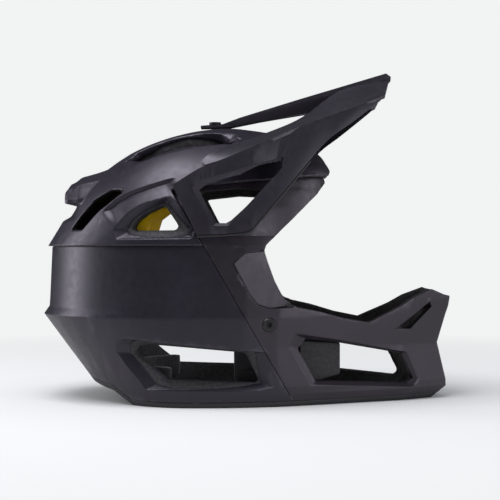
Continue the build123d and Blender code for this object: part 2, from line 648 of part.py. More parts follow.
def surface_place(x_share, half_share, z_share, turn):
    """Place on the right side, with its axis outwards, turned about the vertical."""
    place = Pos(LENGTH * x_share, -HALF_WIDTH * half_share, CROWN_Z * z_share)
    return place * Rot(0, 0, turn) * Rot(90, 0, 0)


def cheek_screw():
    """Round head screw with a socket, head outwards."""
    head = Cylinder(SCREW_R, SCREW_HEAD_T, align=STANDING)
    head = chamfer(head.faces().sort_by(Axis.Z)[-1].edges(), SCREW_HEAD_T / 3)
    shank = Pos(0, 0, -SCREW_SHANK_LEN) * Cylinder(SCREW_SHANK_R, SCREW_SHANK_LEN, align=STANDING)
    socket = extrude(RegularPolygon(SOCKET_R, 6), amount=SCREW_HEAD_T)
    socket = Pos(0, 0, SCREW_HEAD_T - SOCKET_DEPTH) * socket
    return CHEEK_SCREW_PLACE * Pos(0, 0, -SCREW_SINK) * (head + shank - socket)


def screw_hole():
    """Counterbore and hole for a cheek screw."""
    bore = Cylinder(SCREW_R + FIT_GAP, OVER, align=STANDING)
    hole = Pos(0, 0, -SCREW_SHANK_LEN - FIT_GAP) * Cylinder(SCREW_SHANK_R + FIT_GAP, SCREW_SHANK_LEN + OVER,
                                                            align=STANDING)
    return CHEEK_SCREW_PLACE * Pos(0, 0, -SCREW_SINK) * (bore + hole)


# Visor and its pivots

def strip(stations, away):
    """Sheet through pairs of edge places, given its thickness by an offset."""
    sections = []
    for first, second in stations:
        a, b = Vector(in_space(first)), Vector(in_space(second))
        a, b = Vector(a.X, -a.Y, a.Z), Vector(b.X, -b.Y, b.Z)
        sections.append([a, b, b + away, a + away])
    return skin(sections)


def visor():
    """Peak with its middle spine and two side arms, each with an open window."""
    top = strip(VISOR_TOP_SHARES, Vector(0, 0, -VISOR_T))
    inward = Vector(0, VISOR_T, 0)
    edge = strip(VISOR_SIDE_SHARES[:ARM_STATION + 1], inward)
    arm = strip(VISOR_SIDE_SHARES[ARM_STATION:], inward) - on_right(WINDOW_HOLE_SHARES)
    shape = both_sides(top + (edge + arm))
    spine = extrude(side_face(SPINE_SHARES), amount=SPINE_HALF, both=True)
    return solids_of(shape + spine)


def pivot_place():
    """Axis of the visor pivot on the right side, outwards."""
    return Pos(PIVOT_X, 0, PIVOT_Z) * Rot(90, 0, 0)


def visor_pivots(arms):
    """Pivot pins of the visor, each with the boss that seats on the inner face of its arm."""
    boss_len = WIDE - BUSH_OUTER_Y - MOVE_CLEAR
    boss = Pos(0, 0, BUSH_OUTER_Y + MOVE_CLEAR) * Cylinder(BOSS_R, boss_len, align=STANDING)
    boss = solids_of((pivot_place() * boss) - arms)
    boss = boss.solids().sort_by(Axis.Y)[-1]
    pin_len = BUSH_LEN + MOVE_CLEAR
    pin = Pos(0, 0, BUSH_OUTER_Y + MOVE_CLEAR - pin_len) * Cylinder(PIVOT_R, pin_len, align=STANDING)
    right = boss + pivot_place() * pin
    return Compound(children=[right, mirror(right, about=Plane.XZ)])


def pivot_bushes():
    """Flanged bushes in the temples that the visor pins turn in."""
    sleeve = Pos(0, 0, BUSH_OUTER_Y - BUSH_LEN) * Cylinder(PIVOT_R + BUSH_T, BUSH_LEN, align=STANDING)
    flange = Pos(0, 0, BUSH_OUTER_Y - BUSH_FLANGE_T) * Cylinder(BOSS_R, BUSH_FLANGE_T, align=STANDING)
    bore = Pos(0, 0, BUSH_OUTER_Y - BUSH_LEN) * Cylinder(PIVOT_R + PIVOT_CLEAR, BUSH_LEN, align=STANDING)
    right = pivot_place() * (sleeve + flange - bore)
    return Compound(children=[right, mirror(right, about=Plane.XZ)])


def pivot_holes():
    """Holes for the bushes, with the flat seat of their flanges."""
    hole = Cylinder(PIVOT_R + BUSH_T, WIDE, align=STANDING)
    seat = Pos(0, 0, BUSH_OUTER_Y - BUSH_FLANGE_T) * Cylinder(BOSS_R + FIT_GAP, OVER, align=STANDING)
    end = Pos(0, 0, BUSH_OUTER_Y - BUSH_LEN) * Cylinder(PIVOT_R + BUSH_T, WIDE, align=STANDING)
    return both_sides(pivot_place() * (end + seat))


def tab_screw():
    """Low screw that holds the foot of the visor spine."""
    x, z = at(TAB_SCREW_SHARE)
    head = Pos(x, 0, z) * Cylinder(TAB_SCREW_R, TAB_SCREW_T, align=STANDING)
    slot = Pos(x, 0, z + TAB_SCREW_T) * Box(TAB_SCREW_R, SOCKET_R / 2, SOCKET_DEPTH * 2)
    return head - slot


# Fit system, round the back of the head

def cradle_outline(grow):
    """Plan of the cradle: round behind, straight arms at the sides."""
    arc_x, end_x = -LENGTH * CRADLE_ARC_SHARE, -LENGTH * CRADLE_END_SHARE
    rear, half = LENGTH * CRADLE_REAR_SHARE + grow, HALF_WIDTH * CRADLE_HALF_SHARE + grow
    reach = rear + arc_x
    back = Pos(arc_x, 0) * Ellipse(reach, half)
    arms = Pos((arc_x + end_x) / 2, 0) * Rectangle(end_x - arc_x, half * 2)
    behind = Pos(arc_x - reach / 2, 0) * Rectangle(reach, half * 2)
    return (back & behind) + arms


def fit_cradle():
    """Flexible cradle round the nape, with its two arms in their guides."""
    band = extrude(cradle_outline(0) - cradle_outline(-CRADLE_T), amount=CRADLE_H)
    band = Pos(0, 0, CRADLE_Z - CRADLE_H / 2) * band
    window = Box(REACH, CRADLE_H, CRADLE_H / 2)
    windows = [Pos(0, LENGTH * y, CRADLE_Z) * window for y in CRADLE_WINDOW_SHARES]
    end_wall = block(-LENGTH * CRADLE_END_SHARE - CRADLE_T, 0, -HALF_WIDTH * CRADLE_HALF_SHARE + CRADLE_T,
                     HALF_WIDTH * CRADLE_HALF_SHARE - CRADLE_T, 0, CROWN_Z)
    return solids_of(band - windows - end_wall)


def cradle_guides():
    """Guides on the foam that the arms of the cradle slide in."""
    x0 = -LENGTH * GUIDE_SHARE
    y0 = HALF_WIDTH * CRADLE_HALF_SHARE
    tall = CRADLE_H / 2 + GUIDE_WALL
    body = block(x0, x0 + GUIDE_LEN, -WIDE, -y0 + CRADLE_T + GUIDE_WALL, CRADLE_Z - tall, CRADLE_Z + tall)
    slot = block(x0 - OVER, x0 + GUIDE_LEN + OVER, -y0 - SLIDE_CLEAR, -y0 + CRADLE_T + SLIDE_CLEAR,
                 CRADLE_Z - CRADLE_H / 2 - SLIDE_CLEAR, CRADLE_Z + CRADLE_H / 2 + SLIDE_CLEAR)
    right = solids_of((body & low_hull(FOAM_IN + FIT_GAP)) - slot)
    return Compound(children=[right, mirror(right, about=Plane.XZ)])


def dial_place(offset_x):
    """Axis of the dial, rearwards."""
    return Pos(-LENGTH * CRADLE_REAR_SHARE - offset_x, 0, DIAL_Z) * Rot(0, -90, 0)


def dial_housing():
    """Round gear housing on the back of the cradle."""
    depth = LENGTH * HOUSING_SHARE
    puck = dial_place(-depth) * Cylinder(HOUSING_R, depth + HOUSING_T, align=STANDING)
    bore = dial_place(-depth) * Cylinder(AXLE_R + AXLE_CLEAR, depth + HOUSING_T, align=STANDING)
    inside = Pos(0, 0, DIAL_Z - HOUSING_R) * extrude(cradle_outline(0), amount=HOUSING_R * 2)
    return solids_of(puck - inside - bore)


def fit_dial():
    """Ribbed dial with its axle."""
    wheel = Cylinder(DIAL_R - DIAL_RIB_R / 2, DIAL_T, align=STANDING)
    rib = Pos(DIAL_R - DIAL_RIB_R, 0, 0) * Cylinder(DIAL_RIB_R, DIAL_T, align=STANDING)
    ribs = [Rot(0, 0, 360 * step / DIAL_RIBS) * rib for step in range(DIAL_RIBS)]
    axle = Pos(0, 0, -HOUSING_T) * Cylinder(AXLE_R, HOUSING_T, align=STANDING)
    dish = Pos(0, 0, DIAL_T - SOCKET_DEPTH) * Cylinder(DIAL_R * DIAL_DISH_SHARE, DIAL_T, align=STANDING)
    grip = Pos(0, 0, DIAL_T - SOCKET_DEPTH) * Box(DIAL_R, DIAL_RIB_R * 2, SOCKET_DEPTH,
                                                  align=(Align.CENTER, Align.CENTER, Align.MIN))
    return dial_place(HOUSING_T + FIT_GAP) * (wheel + ribs + axle - dish + grip)


# Chin strap

def ribbon(path, thickness, width, centre_x):
    """Flat webbing along a path of (sideways, up) places on the right side."""
    upper, lower = [], []
    for index, (y, z) in enumerate(path):
        before, after = path[max(index - 1, 0)], path[min(index + 1, len(path) - 1)]
        dy, dz = after[0] - before[0], after[1] - before[1]
        run = hypot(dy, dz)
        across = (-dz / run * thickness / 2, dy / run * thickness / 2)
        upper.append((y + across[0], z + across[1]))
        lower.append((y - across[0], z - across[1]))
    plane = Plane(origin=(centre_x - width / 2, 0, 0), x_dir=(0, 1, 0), z_dir=(1, 0, 0))
    return extrude(plane * Polygon(*(upper + lower[::-1]), align=None), amount=width, dir=(1, 0, 0))


def strap_path():
    """Path of the right strap, from its rivet down and in to the buckle."""
    return [(-HALF_WIDTH * y, CROWN_Z * z) for y, z in STRAP_SHARES]


def strap():
    """Right strap."""
    return ribbon(strap_path(), STRAP_T, STRAP_W, STRAP_X)


def strap_pad():
    """Padded sleeve on the skin side of the right strap."""
    lift = (STRAP_T + STRAP_PAD_T) / 2 + FIT_GAP
    path = []
    low = strap_path()[STRAP_PAD_FROM:STRAP_PAD_TO]
    for index, (y, z) in enumerate(low):
        before, after = low[max(index - 1, 0)], low[min(index + 1, len(low) - 1)]
        run = hypot(after[0] - before[0], after[1] - before[1])
        path.append((y - (after[1] - before[1]) / run * lift, z + (after[0] - before[0]) / run * lift))
    return ribbon(path, STRAP_PAD_T, STRAP_PAD_W, STRAP_X)


def strap_rivets():
    """Rivets that hold the straps to the foam."""
    y, z = strap_path()[0]
    rivet = Pos(STRAP_X, y + STRAP_T / 2 + FIT_GAP * 2, z - STRAP_W / 2) * Rot(-90, 0, 0) * Cylinder(
        RIVET_R, RIVET_T, align=STANDING)
    return both_sides(rivet)


def buckle_base():
    """Receiving half of the buckle, on the right, with a socket and a slot for the release."""
    y0 = -BUCKLE_L
    z0 = strap_path()[-1][1] + STRAP_T / 2 + FIT_GAP
    body = block(STRAP_X - BUCKLE_W / 2, STRAP_X + BUCKLE_W / 2, y0, 0, z0, z0 + BUCKLE_T)
    body = fillet(body.edges().filter_by(Axis.Z), BUCKLE_T / 3)
    nose = tongue_nose(FIT_GAP)
    button = release_body(BUTTON_TRAVEL)
    return body - nose - button


def tongue_nose(gap):
    """Nose of the tongue inside the receiving half."""
    z0 = strap_path()[-1][1] + STRAP_T / 2 + FIT_GAP
    half = BUCKLE_W / 4
    return block(STRAP_X - half - gap, STRAP_X + half + gap, -BUCKLE_L / 2 - gap, FIT_GAP + gap,
                 z0 + BUCKLE_T / 4 - gap, z0 + BUCKLE_T / 2 + gap)


def buckle_tongue():
    """Plug half of the buckle, on the left."""
    z0 = strap_path()[-1][1] + STRAP_T / 2 + FIT_GAP
    body = block(STRAP_X - BUCKLE_W / 2, STRAP_X + BUCKLE_W / 2, FIT_GAP, BUCKLE_L, z0, z0 + BUCKLE_T)
    body = fillet(body.edges().filter_by(Axis.Z), BUCKLE_T / 3)
    return body + tongue_nose(0)


def release_body(travel):
    """Release slide in its slot, with room for its travel."""
    z0 = strap_path()[-1][1] + STRAP_T / 2 + FIT_GAP
    gap = SLIDE_CLEAR if travel else 0
    half_y, half_x = BUCKLE_L / 5 + gap, BUCKLE_W / 4
    y = -BUCKLE_L * RELEASE_BACK_SHARE
    return block(STRAP_X - half_x - gap, STRAP_X + half_x + travel + gap, y - half_y, y + half_y,
                 z0 + BUCKLE_T * RELEASE_SEAT_SHARE - gap, z0 + BUCKLE_T + SOCKET_DEPTH)


CHEEK_SCREW_PLACE = surface_place(*CHEEK_SCREW_PLACE_SHARES, CHEEK_SCREW_TURN)
CHEEK_SCREW_HOLES = both_sides(screw_hole())
FACETS = facet_cut(0)
FACETS_DEEP = facet_cut(CHEEK_WALL_T)
PIVOT_HOLES = pivot_holes()
ANCHOR_POSTS = anchor_posts(ANCHOR_R)


def mirrored(shape):
    """The left copy of a right piece."""
    return mirror(shape, about=Plane.XZ)


def build_parts():
    """All pieces of the helmet by name."""
    pad_layer = crown_pad_layer()
    screw = cheek_screw()
    peak = visor()
    pieces = {
        "crown_shell": crown_shell(),
        "rear_shell": rear_shell(),
        "front_shell": front_shell() - CHEEK_SCREW_HOLES - PIVOT_HOLES,
        "lower_trim": lower_trim(),
        "crown_foam": crown_foam(),
        "rear_foam": rear_foam(),
        "chin_foam": chin_foam(),
        "slip_liner": slip_liner(),
        "liner_anchors": liner_anchors(),
        "crown_pads": crown_pads(pad_layer),
        "brow_pad": brow_pad(pad_layer),
        "cheek_pad_right": cheek_pad(),
        "neck_roll": neck_roll(),
        "cheek_screws": Compound(children=[screw, mirrored(screw)]),
        "visor": peak,
        "visor_pivots": visor_pivots(peak),
        "pivot_bushes": pivot_bushes(),
        "visor_tab_screw": tab_screw(),
        "fit_cradle": fit_cradle(),
        "cradle_guides": cradle_guides(),
        "dial_housing": dial_housing(),
        "fit_dial": fit_dial(),
        "strap_right": strap(),
        "strap_pad_right": strap_pad(),
        "strap_rivets": strap_rivets(),
        "buckle_base": buckle_base(),
        "buckle_tongue": buckle_tongue(),
        "buckle_release": release_body(0),
    }
    pieces["cheek_pad_left"] = mirrored(pieces["cheek_pad_right"])
    pieces["strap_left"] = mirrored(pieces["strap_right"])
    pieces["strap_pad_left"] = mirrored(pieces["strap_pad_right"])
    return pieces


os.makedirs("parts", exist_ok=True)
for name, shape in build_parts().items():
    export_step(shape, f"parts/{name}.step")
    print(name, round(shape.volume), shape.is_valid, len(shape.solids()))
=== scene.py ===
import math

import bmesh
import bpy
import numpy as np
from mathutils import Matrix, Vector


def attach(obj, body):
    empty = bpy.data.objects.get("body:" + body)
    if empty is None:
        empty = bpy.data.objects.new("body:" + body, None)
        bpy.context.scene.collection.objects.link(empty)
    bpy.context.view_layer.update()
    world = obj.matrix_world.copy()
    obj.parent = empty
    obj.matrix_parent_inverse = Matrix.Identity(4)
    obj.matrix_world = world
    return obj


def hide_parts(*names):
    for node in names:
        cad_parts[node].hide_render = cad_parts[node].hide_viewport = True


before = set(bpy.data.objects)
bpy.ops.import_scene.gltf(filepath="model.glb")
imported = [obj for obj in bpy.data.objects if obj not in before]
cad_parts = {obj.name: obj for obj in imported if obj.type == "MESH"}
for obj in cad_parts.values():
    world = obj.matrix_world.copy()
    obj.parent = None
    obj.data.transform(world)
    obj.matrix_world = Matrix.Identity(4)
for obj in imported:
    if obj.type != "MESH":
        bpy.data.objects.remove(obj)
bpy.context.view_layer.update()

# Driving sizes of the shells, in metres, and the shape of their levels
LENGTH, HALF_WIDTH, CROWN_Z, SEAM_Z = 0.372, 0.118, 0.2465, 0.138
ROUNDNESS = 2.1
LOW_STEPS, CROWN_STEPS = 9, 18
MID_SHARE = -0.121
LOW_LEVELS = [
    (0.000, -0.339, 0.920), (0.045, -0.366, 0.935), (0.069, -0.379, 0.945), (0.205, -0.447, 0.980),
    (0.312, -0.500, 1.000), (0.340, -0.487, 0.995), (0.370, -0.4855, 0.993), (0.560, -0.480, 0.985),
    (0.600, -0.480, 0.980)]
CROWN_LEVELS = [
    (0.560, -0.491, -0.121, 0.212, 1.000), (0.621, -0.466, -0.121, 0.216, 0.995),
    (0.710, -0.430, -0.121, 0.218, 0.957), (0.771, -0.398, -0.121, 0.217, 0.902),
    (0.824, -0.361, -0.119, 0.213, 0.826), (0.868, -0.323, -0.114, 0.199, 0.737),
    (0.907, -0.283, -0.105, 0.178, 0.630), (0.939, -0.238, -0.093, 0.146, 0.520),
    (0.966, -0.188, -0.080, 0.103, 0.395), (0.986, -0.137, -0.065, 0.049, 0.255),
    (1.000, -0.085, -0.048, -0.012, 0.090)]

# Visor window: outer edge of its slope and the hole, as shares of length, half width, crown height
WINDOW_SLOPE, WINDOW_PROUD = 0.0026, 0.006
WINDOW_OUTER_SHARES = [
    (-0.121, 1.008, 0.758), (-0.101, 1.005, 0.785), (-0.012, 0.974, 0.824), (0.087, 0.862, 0.869),
    (0.086, 0.877, 0.832), (-0.031, 1.015, 0.642), (-0.040, 1.020, 0.628), (-0.074, 1.021, 0.628)]
WINDOW_HOLE_SHARES = [
    (-0.105, 1.008, 0.751), (-0.087, 1.004, 0.772), (-0.012, 0.977, 0.802), (0.080, 0.879, 0.838),
    (0.074, 0.892, 0.823), (-0.033, 1.014, 0.647), (-0.044, 1.019, 0.638), (-0.067, 1.019, 0.638)]

# Lines of the crown in the side view, front to back, as shares of length and crown height
CREASE_SHARES = [(-0.158, 0.800), (-0.221, 0.772), (-0.267, 0.748), (-0.302, 0.720), (-0.336, 0.678)]
VALLEY_SHARES = [(-0.019, 0.944), (-0.050, 0.950), (-0.110, 0.939), (-0.170, 0.919), (-0.230, 0.894),
                 (-0.283, 0.861)]

# Depth of each and how it fades across its line, and how much further the foam goes in under the valley
CREASE_DEPTH, CREASE_RISE, CREASE_FADE = 0.0028, (-0.0002, 0.0016), (-0.020, -0.004)
VALLEY_DEPTH, VALLEY_FADE, FOAM_SINK = 0.0060, (-0.0065, -0.0015), 0.0040
LINE_END_SHARE = 0.12
# How far the crown's tail is drawn in, and the ranges back and up over which that sets in
TAIL_PULL, TAIL_BACK, TAIL_UP = 0.0050, (0.146, 0.162), (0.160, 0.166)

# Flat facet of the cheek at the eye port: its outline, where it starts and how it turns in
CHEEK_FACET_SHARES = [(-0.026, 0.498), (-0.001, 0.536), (0.043, 0.543), (0.051, 0.505), (0.067, 0.439),
                      (0.081, 0.398), (0.096, 0.362), (0.092, 0.350), (0.056, 0.343), (0.028, 0.357),
                      (0.010, 0.392)]
FACET_START_SHARE, FACET_ANGLE, FACET_T, FACET_PROUD = 0.985, 24.0, 0.0036, 0.0006

# Visor: inner edge and ridge of the top, ridge and lower edge of the sides, middle spine
VISOR_T, SPINE_HALF = 0.003, 0.0085
VISOR_TOP_SHARES = [
    ((0.358, 0.000, 1.198), (0.334, 0.407, 1.108)),
    ((0.235, 0.000, 1.157), (0.223, 0.593, 1.038)),
    ((0.141, 0.085, 1.045), (0.126, 0.780, 0.978)),
    ((0.044, 0.508, 0.964), (0.056, 0.898, 0.929)),
    ((-0.069, 0.900, 0.888), (-0.046, 0.983, 0.861)),
    ((-0.103, 0.966, 0.850), (-0.090, 0.998, 0.838))]
VISOR_SIDE_SHARES = [
    ((0.332, 0.407, 1.108), (0.324, 0.425, 1.088)),
    ((0.304, 0.450, 1.093), (0.298, 0.475, 1.056)),
    ((0.270, 0.517, 1.066), (0.246, 0.580, 0.995)),
    ((0.223, 0.593, 1.038), (0.197, 0.700, 0.940)),
    ((0.172, 0.710, 1.006), (0.149, 0.820, 0.860)),
    ((0.126, 0.780, 0.978), (0.090, 0.935, 0.752)),
    ((0.056, 0.898, 0.929), (0.025, 1.005, 0.637)),
    ((0.010, 0.950, 0.898), (0.006, 1.018, 0.611)),
    ((-0.046, 0.985, 0.861), (-0.040, 1.025, 0.602)),
    ((-0.103, 1.000, 0.827), (-0.080, 1.025, 0.599)),
    ((-0.166, 1.008, 0.768), (-0.110, 1.025, 0.597))]
SPINE_SHARES = [
    (-0.112, 1.012), (-0.095, 1.014), (-0.057, 1.018), (-0.015, 1.042), (0.135, 1.112), (0.235, 1.157),
    (0.348, 1.208), (0.360, 1.195), (0.359, 1.178), (0.345, 1.180), (0.235, 1.135), (0.153, 1.059),
    (0.085, 1.042), (0.035, 1.029), (-0.040, 1.006), (-0.112, 1.0035)]

# Dark strip behind the crown's seam, painted shadow in the seam's gap, and where the slip liner ends behind
# the temples
SEAM_SHADE_T, SEAM_SHADE_HALF, SEAM_SHADE_AHEAD, SEAM_SHADE_PLACES = 0.0025, 0.0030, 0.012, 61
SEAM_SHADE_SIDE_SHARE, SEAM_SHADE_REAR_SHARE = 0.978, 0.4785
LINER_GAP_BACK, LINER_GAP_SIDE, LINER_GAP_TOP = -0.058, 0.042, 0.208
# Dark rubber bead under the visor arms, painted shadow of the arms' undercut: its reach, how far it hangs
# out, and its first station
SHADOW_BEAD_R, SHADOW_BEAD_DROP, SHADOW_BEAD_START = 0.0012, 0.0012, 4
# Foam rib behind the rear half of each chin vent, each corner as three shares, and its thickness
RIB_SHARES = [(0.126, 0.700, 0.228), (0.223, 0.577, 0.216), (0.223, 0.577, 0.104), (0.126, 0.700, 0.066)]
RIB_T = 0.009
CURVE_STEPS = 5

# Rounded edges, each with the angle from which an edge is rounded, and the angles of a sharp edge
SHELL_ROUND, SHELL_BEND = 0.0006, 38
VISOR_ROUND, VISOR_BEND, VISOR_SHARP = 0.0009, 26, 40
RIB_ROUND, FACET_ROUND, PLATE_BEND, FACET_SHARP = 0.0015, 0.0006, 30, 12
HARDWARE_BEND = 35
WELD_REACH, FLAT_ANGLE = 0.00002, 0.3
HULL_SCALES = (0.985, 1.03)     # least and most that the smooth hull moves a place

# Fineness of the skins
VOXEL = 0.0012
SHELL_EDGE = 0.004
CROWN_VOXEL, FOAM_VOXEL = VOXEL * 0.75, VOXEL * 1.6

# Pads: node, skin size, how far drawn in, how far blown up at most, how full
PADS = [
    ("crown_pads", 0.004, 0.0008, 0.003, 0.5), ("brow_pad", 0.004, 0.0008, 0.003, 0.5),
    ("cheek_pad_right", 0.005, 0.002, 0.004, 0.7), ("cheek_pad_left", 0.005, 0.002, 0.004, 0.7),
    ("neck_roll", 0.004, 0.0015, 0.003, 0.7)]
PAD_PRESSURE, PAD_FRAMES = 4.0, 12

# Camera of the photograph: side on
CAMERA_X, CAMERA_Z, CAMERA_AWAY = 0.0038, 0.1346, 1.25
VIEW_WIDTH, SENSOR_WIDTH = 0.465, 36.0

# Studio
FLOOR_COLOUR = (0.53, 0.54, 0.52)
BACKDROP_COLOUR = (0.887, 0.895, 0.895)
ROOM_LIGHT = 0.75
ROOM_SHINE = 0.05
ROOM_COLOUR, SHINE_COLOUR = (0.93, 0.94, 1.0), (0.90, 0.90, 1.0)
FLOOR_FADE = (0.30, 0.95)       # where the floor starts to fade into the backdrop, and where it has
LAMP_COLOUR = (0.95, 0.93, 1.0)
# Lamps: name, place, what it aims at, size, power
LAMPS = [
    ("top_box", (-0.35, -0.35, 1.4), (-0.05, 0, 0.15), (0.9, 0.8), 22.0),
    ("rear_box", (-1.2, 0.12, 0.30), (-0.1, 0, 0.12), (0.25, 1.0), 9.0),
    ("front_box", (1.25, -0.95, 0.30), (0.1, 0, 0.12), (0.4, 0.6), 7.0),
    ("nose_box", (1.25, 0.3, 0.35), (0.1, 0, 0.10), (0.9, 0.7), 4.0)]


# Node helpers

def new_material(name):
    """Material with its node tree, its shader and its object coordinates."""
    material = bpy.data.materials.new(name)
    material.use_nodes = True
    tree = material.node_tree
    shader = tree.nodes["Principled BSDF"]
    coordinates = tree.nodes.new("ShaderNodeTexCoord")
    return material, tree, shader, coordinates.outputs["Object"]


def noise(tree, vector, scale, detail=3.0, roughness=0.5):
    """Noise value at a scale in cycles per metre."""
    node = tree.nodes.new("ShaderNodeTexNoise")
    node.inputs["Scale"].default_value = scale
    node.inputs["Detail"].default_value = detail
    node.inputs["Roughness"].default_value = roughness
    tree.links.new(vector, node.inputs["Vector"])
    return node.outputs["Fac"]


def ramp(tree, value, low, high, out_low=0.0, out_high=1.0):
    """Value mapped from one range to another and held at its ends."""
    node = tree.nodes.new("ShaderNodeMapRange")
    node.inputs["From Min"].default_value = low
    node.inputs["From Max"].default_value = high
    node.inputs["To Min"].default_value = out_low
    node.inputs["To Max"].default_value = out_high
    tree.links.new(value, node.inputs["Value"])
    return node.outputs["Result"]


def blend_colour(tree, factor, first, second):
    """Colour between two, each a colour or a socket."""
    node = tree.nodes.new("ShaderNodeMix")
    node.data_type = "RGBA"
    tree.links.new(factor, node.inputs["Factor"])
    for socket, value in ((node.inputs[6], first), (node.inputs[7], second)):
        if isinstance(value, tuple):
            socket.default_value = (*value, 1.0)
        else:
            tree.links.new(value, socket)
    return node.outputs[2]


def maths(tree, operation, first, second):
    """Result of a maths node, from sockets or numbers."""
    node = tree.nodes.new("ShaderNodeMath")
    node.operation = operation
    for index, value in enumerate((first, second)):
        if isinstance(value, (int, float)):
            node.inputs[index].default_value = value
        else:
            tree.links.new(value, node.inputs[index])
    return node.outputs[0]


def bump(tree, shader, height, depth, strength=1.0, under=None):
    """Bump of a depth in metres on the shader's normal."""
    node = tree.nodes.new("ShaderNodeBump")
    node.inputs["Distance"].default_value = depth
    node.inputs["Strength"].default_value = strength
    tree.links.new(height, node.inputs["Height"])
    if under is not None:
        tree.links.new(under, node.inputs["Normal"])
    tree.links.new(node.outputs["Normal"], shader.inputs["Normal"])
    return node.outputs["Normal"]


def edge_mask(tree, low, high):
    """How much a place stands out as a worn edge."""
    geometry = tree.nodes.new("ShaderNodeNewGeometry")
    return ramp(tree, geometry.outputs["Pointiness"], low, high)


# Materials

def shell_plastic(name, colour, worn, rough):
    """Satin moulded shell with fine grain, faint clouding and lighter edges."""
    material, tree, shader, place = new_material(name)
    cloud = noise(tree, place, 22.0, 4.0)
    grain = noise(tree, place, 2600.0, 2.0)
    scuffs = noise(tree, place, 160.0, 6.0, 0.7)
    tone = blend_colour(tree, ramp(tree, cloud, 0.35, 0.65), colour, tuple(c * 1.25 for c in colour))
    edges = maths(tree, "MULTIPLY", edge_mask(tree, 0.515, 0.60), ramp(tree, scuffs, 0.3, 0.62, 0.35, 1.0))
    tone = blend_colour(tree, maths(tree, "MULTIPLY", edges, 0.55), tone, worn)
    tree.links.new(tone, shader.inputs["Base Color"])
    tree.links.new(ramp(tree, scuffs, 0.3, 0.7, rough - 0.05, rough + 0.07), shader.inputs["Roughness"])
    bump(tree, shader, grain, 0.00006, 0.55)
    shader.inputs["Specular IOR Level"].default_value = 0.5
    shader.inputs["Specular Tint"].default_value = (0.94, 0.90, 1.0, 1.0)
    return material


def bead_foam(name, colour):
    """Moulded bead foam with the outlines of its beads."""
    material, tree, shader, place = new_material(name)
    beads = tree.nodes.new("ShaderNodeTexVoronoi")
    beads.inputs["Scale"].default_value = 330.0
    tree.links.new(place, beads.inputs["Vector"])
    shade = ramp(tree, beads.outputs["Distance"], 0.0, 0.8)
    tone = blend_colour(tree, shade, tuple(c * 1.2 for c in colour), tuple(c * 0.6 for c in colour))
    tree.links.new(tone, shader.inputs["Base Color"])
    bump(tree, shader, ramp(tree, beads.outputs["Distance"], 0.0, 0.8, 1.0, 0.0), 0.0003, 0.8)
    shader.inputs["Roughness"].default_value = 0.75
    return material


def plain_plastic(name, colour, rough, grain_scale=2200.0, depth=0.00005):
    """Moulded plastic or rubber with a grain."""
    material, tree, shader, place = new_material(name)
    grain = noise(tree, place, grain_scale, 3.0)
    cloud = noise(tree, place, 60.0, 4.0)
    tone = blend_colour(tree, ramp(tree, cloud, 0.3, 0.7), colour, tuple(c * 1.3 for c in colour))
    tree.links.new(tone, shader.inputs["Base Color"])
    tree.links.new(ramp(tree, cloud, 0.3, 0.7, rough - 0.04, rough + 0.06), shader.inputs["Roughness"])
    bump(tree, shader, grain, depth, 0.6)
    return material


def coated_metal(name, colour, metallic, rough):
    """Coated or dull metal with fine turning marks."""
    material, tree, shader, place = new_material(name)
    marks = noise(tree, place, 3500.0, 2.0)
    scuffs = noise(tree, place, 400.0, 5.0, 0.7)
    tone = blend_colour(tree, maths(tree, "MULTIPLY", edge_mask(tree, 0.52, 0.6), 0.5), colour,
                        tuple(0.05 + c for c in colour))
    tree.links.new(tone, shader.inputs["Base Color"])
    tree.links.new(ramp(tree, scuffs, 0.3, 0.7, rough - 0.08, rough + 0.08), shader.inputs["Roughness"])
    shader.inputs["Metallic"].default_value = metallic
    bump(tree, shader, marks, 0.00002, 0.5)
    return material


def knit_fabric(name, colour, sheen=0.4):
    """Brushed knit with small raised cells."""
    material, tree, shader, place = new_material(name)
    cells = tree.nodes.new("ShaderNodeTexVoronoi")
    cells.inputs["Scale"].default_value = 620.0
    tree.links.new(place, cells.inputs["Vector"])
    fuzz = noise(tree, place, 1900.0, 4.0, 0.7)
    cloud = noise(tree, place, 45.0, 3.0)
    tone = blend_colour(tree, ramp(tree, cells.outputs["Distance"], 0.1, 0.7),
                        tuple(c * 1.5 for c in colour), tuple(c * 0.45 for c in colour))
    tone = blend_colour(tree, ramp(tree, cloud, 0.35, 0.65, 0.0, 0.5), tone, tuple(c * 1.9 for c in colour))
    tree.links.new(tone, shader.inputs["Base Color"])
    height = maths(tree, "ADD", ramp(tree, cells.outputs["Distance"], 0.0, 0.7, 1.0, 0.0),
                   maths(tree, "MULTIPLY", fuzz, 0.5))
    bump(tree, shader, height, 0.00025, 0.9)
    shader.inputs["Roughness"].default_value = 0.95
    shader.inputs["Sheen Weight"].default_value = sheen
    shader.inputs["Sheen Roughness"].default_value = 0.5
    return material


def webbing_weave(name, colour):
    """Woven webbing, ribs across and threads along."""
    material, tree, shader, place = new_material(name)
    ribs = tree.nodes.new("ShaderNodeTexWave")
    ribs.bands_direction = "Z"
    ribs.inputs["Scale"].default_value = 260.0
    ribs.inputs["Distortion"].default_value = 0.4
    tree.links.new(place, ribs.inputs["Vector"])
    threads = tree.nodes.new("ShaderNodeTexWave")
    threads.bands_direction = "X"
    threads.inputs["Scale"].default_value = 330.0
    tree.links.new(place, threads.inputs["Vector"])
    height = maths(tree, "MULTIPLY", ribs.outputs["Fac"], threads.outputs["Fac"])
    tone = blend_colour(tree, height, tuple(c * 0.5 for c in colour), tuple(c * 2.0 for c in colour))
    tree.links.new(tone, shader.inputs["Base Color"])
    bump(tree, shader, height, 0.0003, 0.9)
    shader.inputs["Roughness"].default_value = 0.85
    shader.inputs["Sheen Weight"].default_value = 0.2
    return material


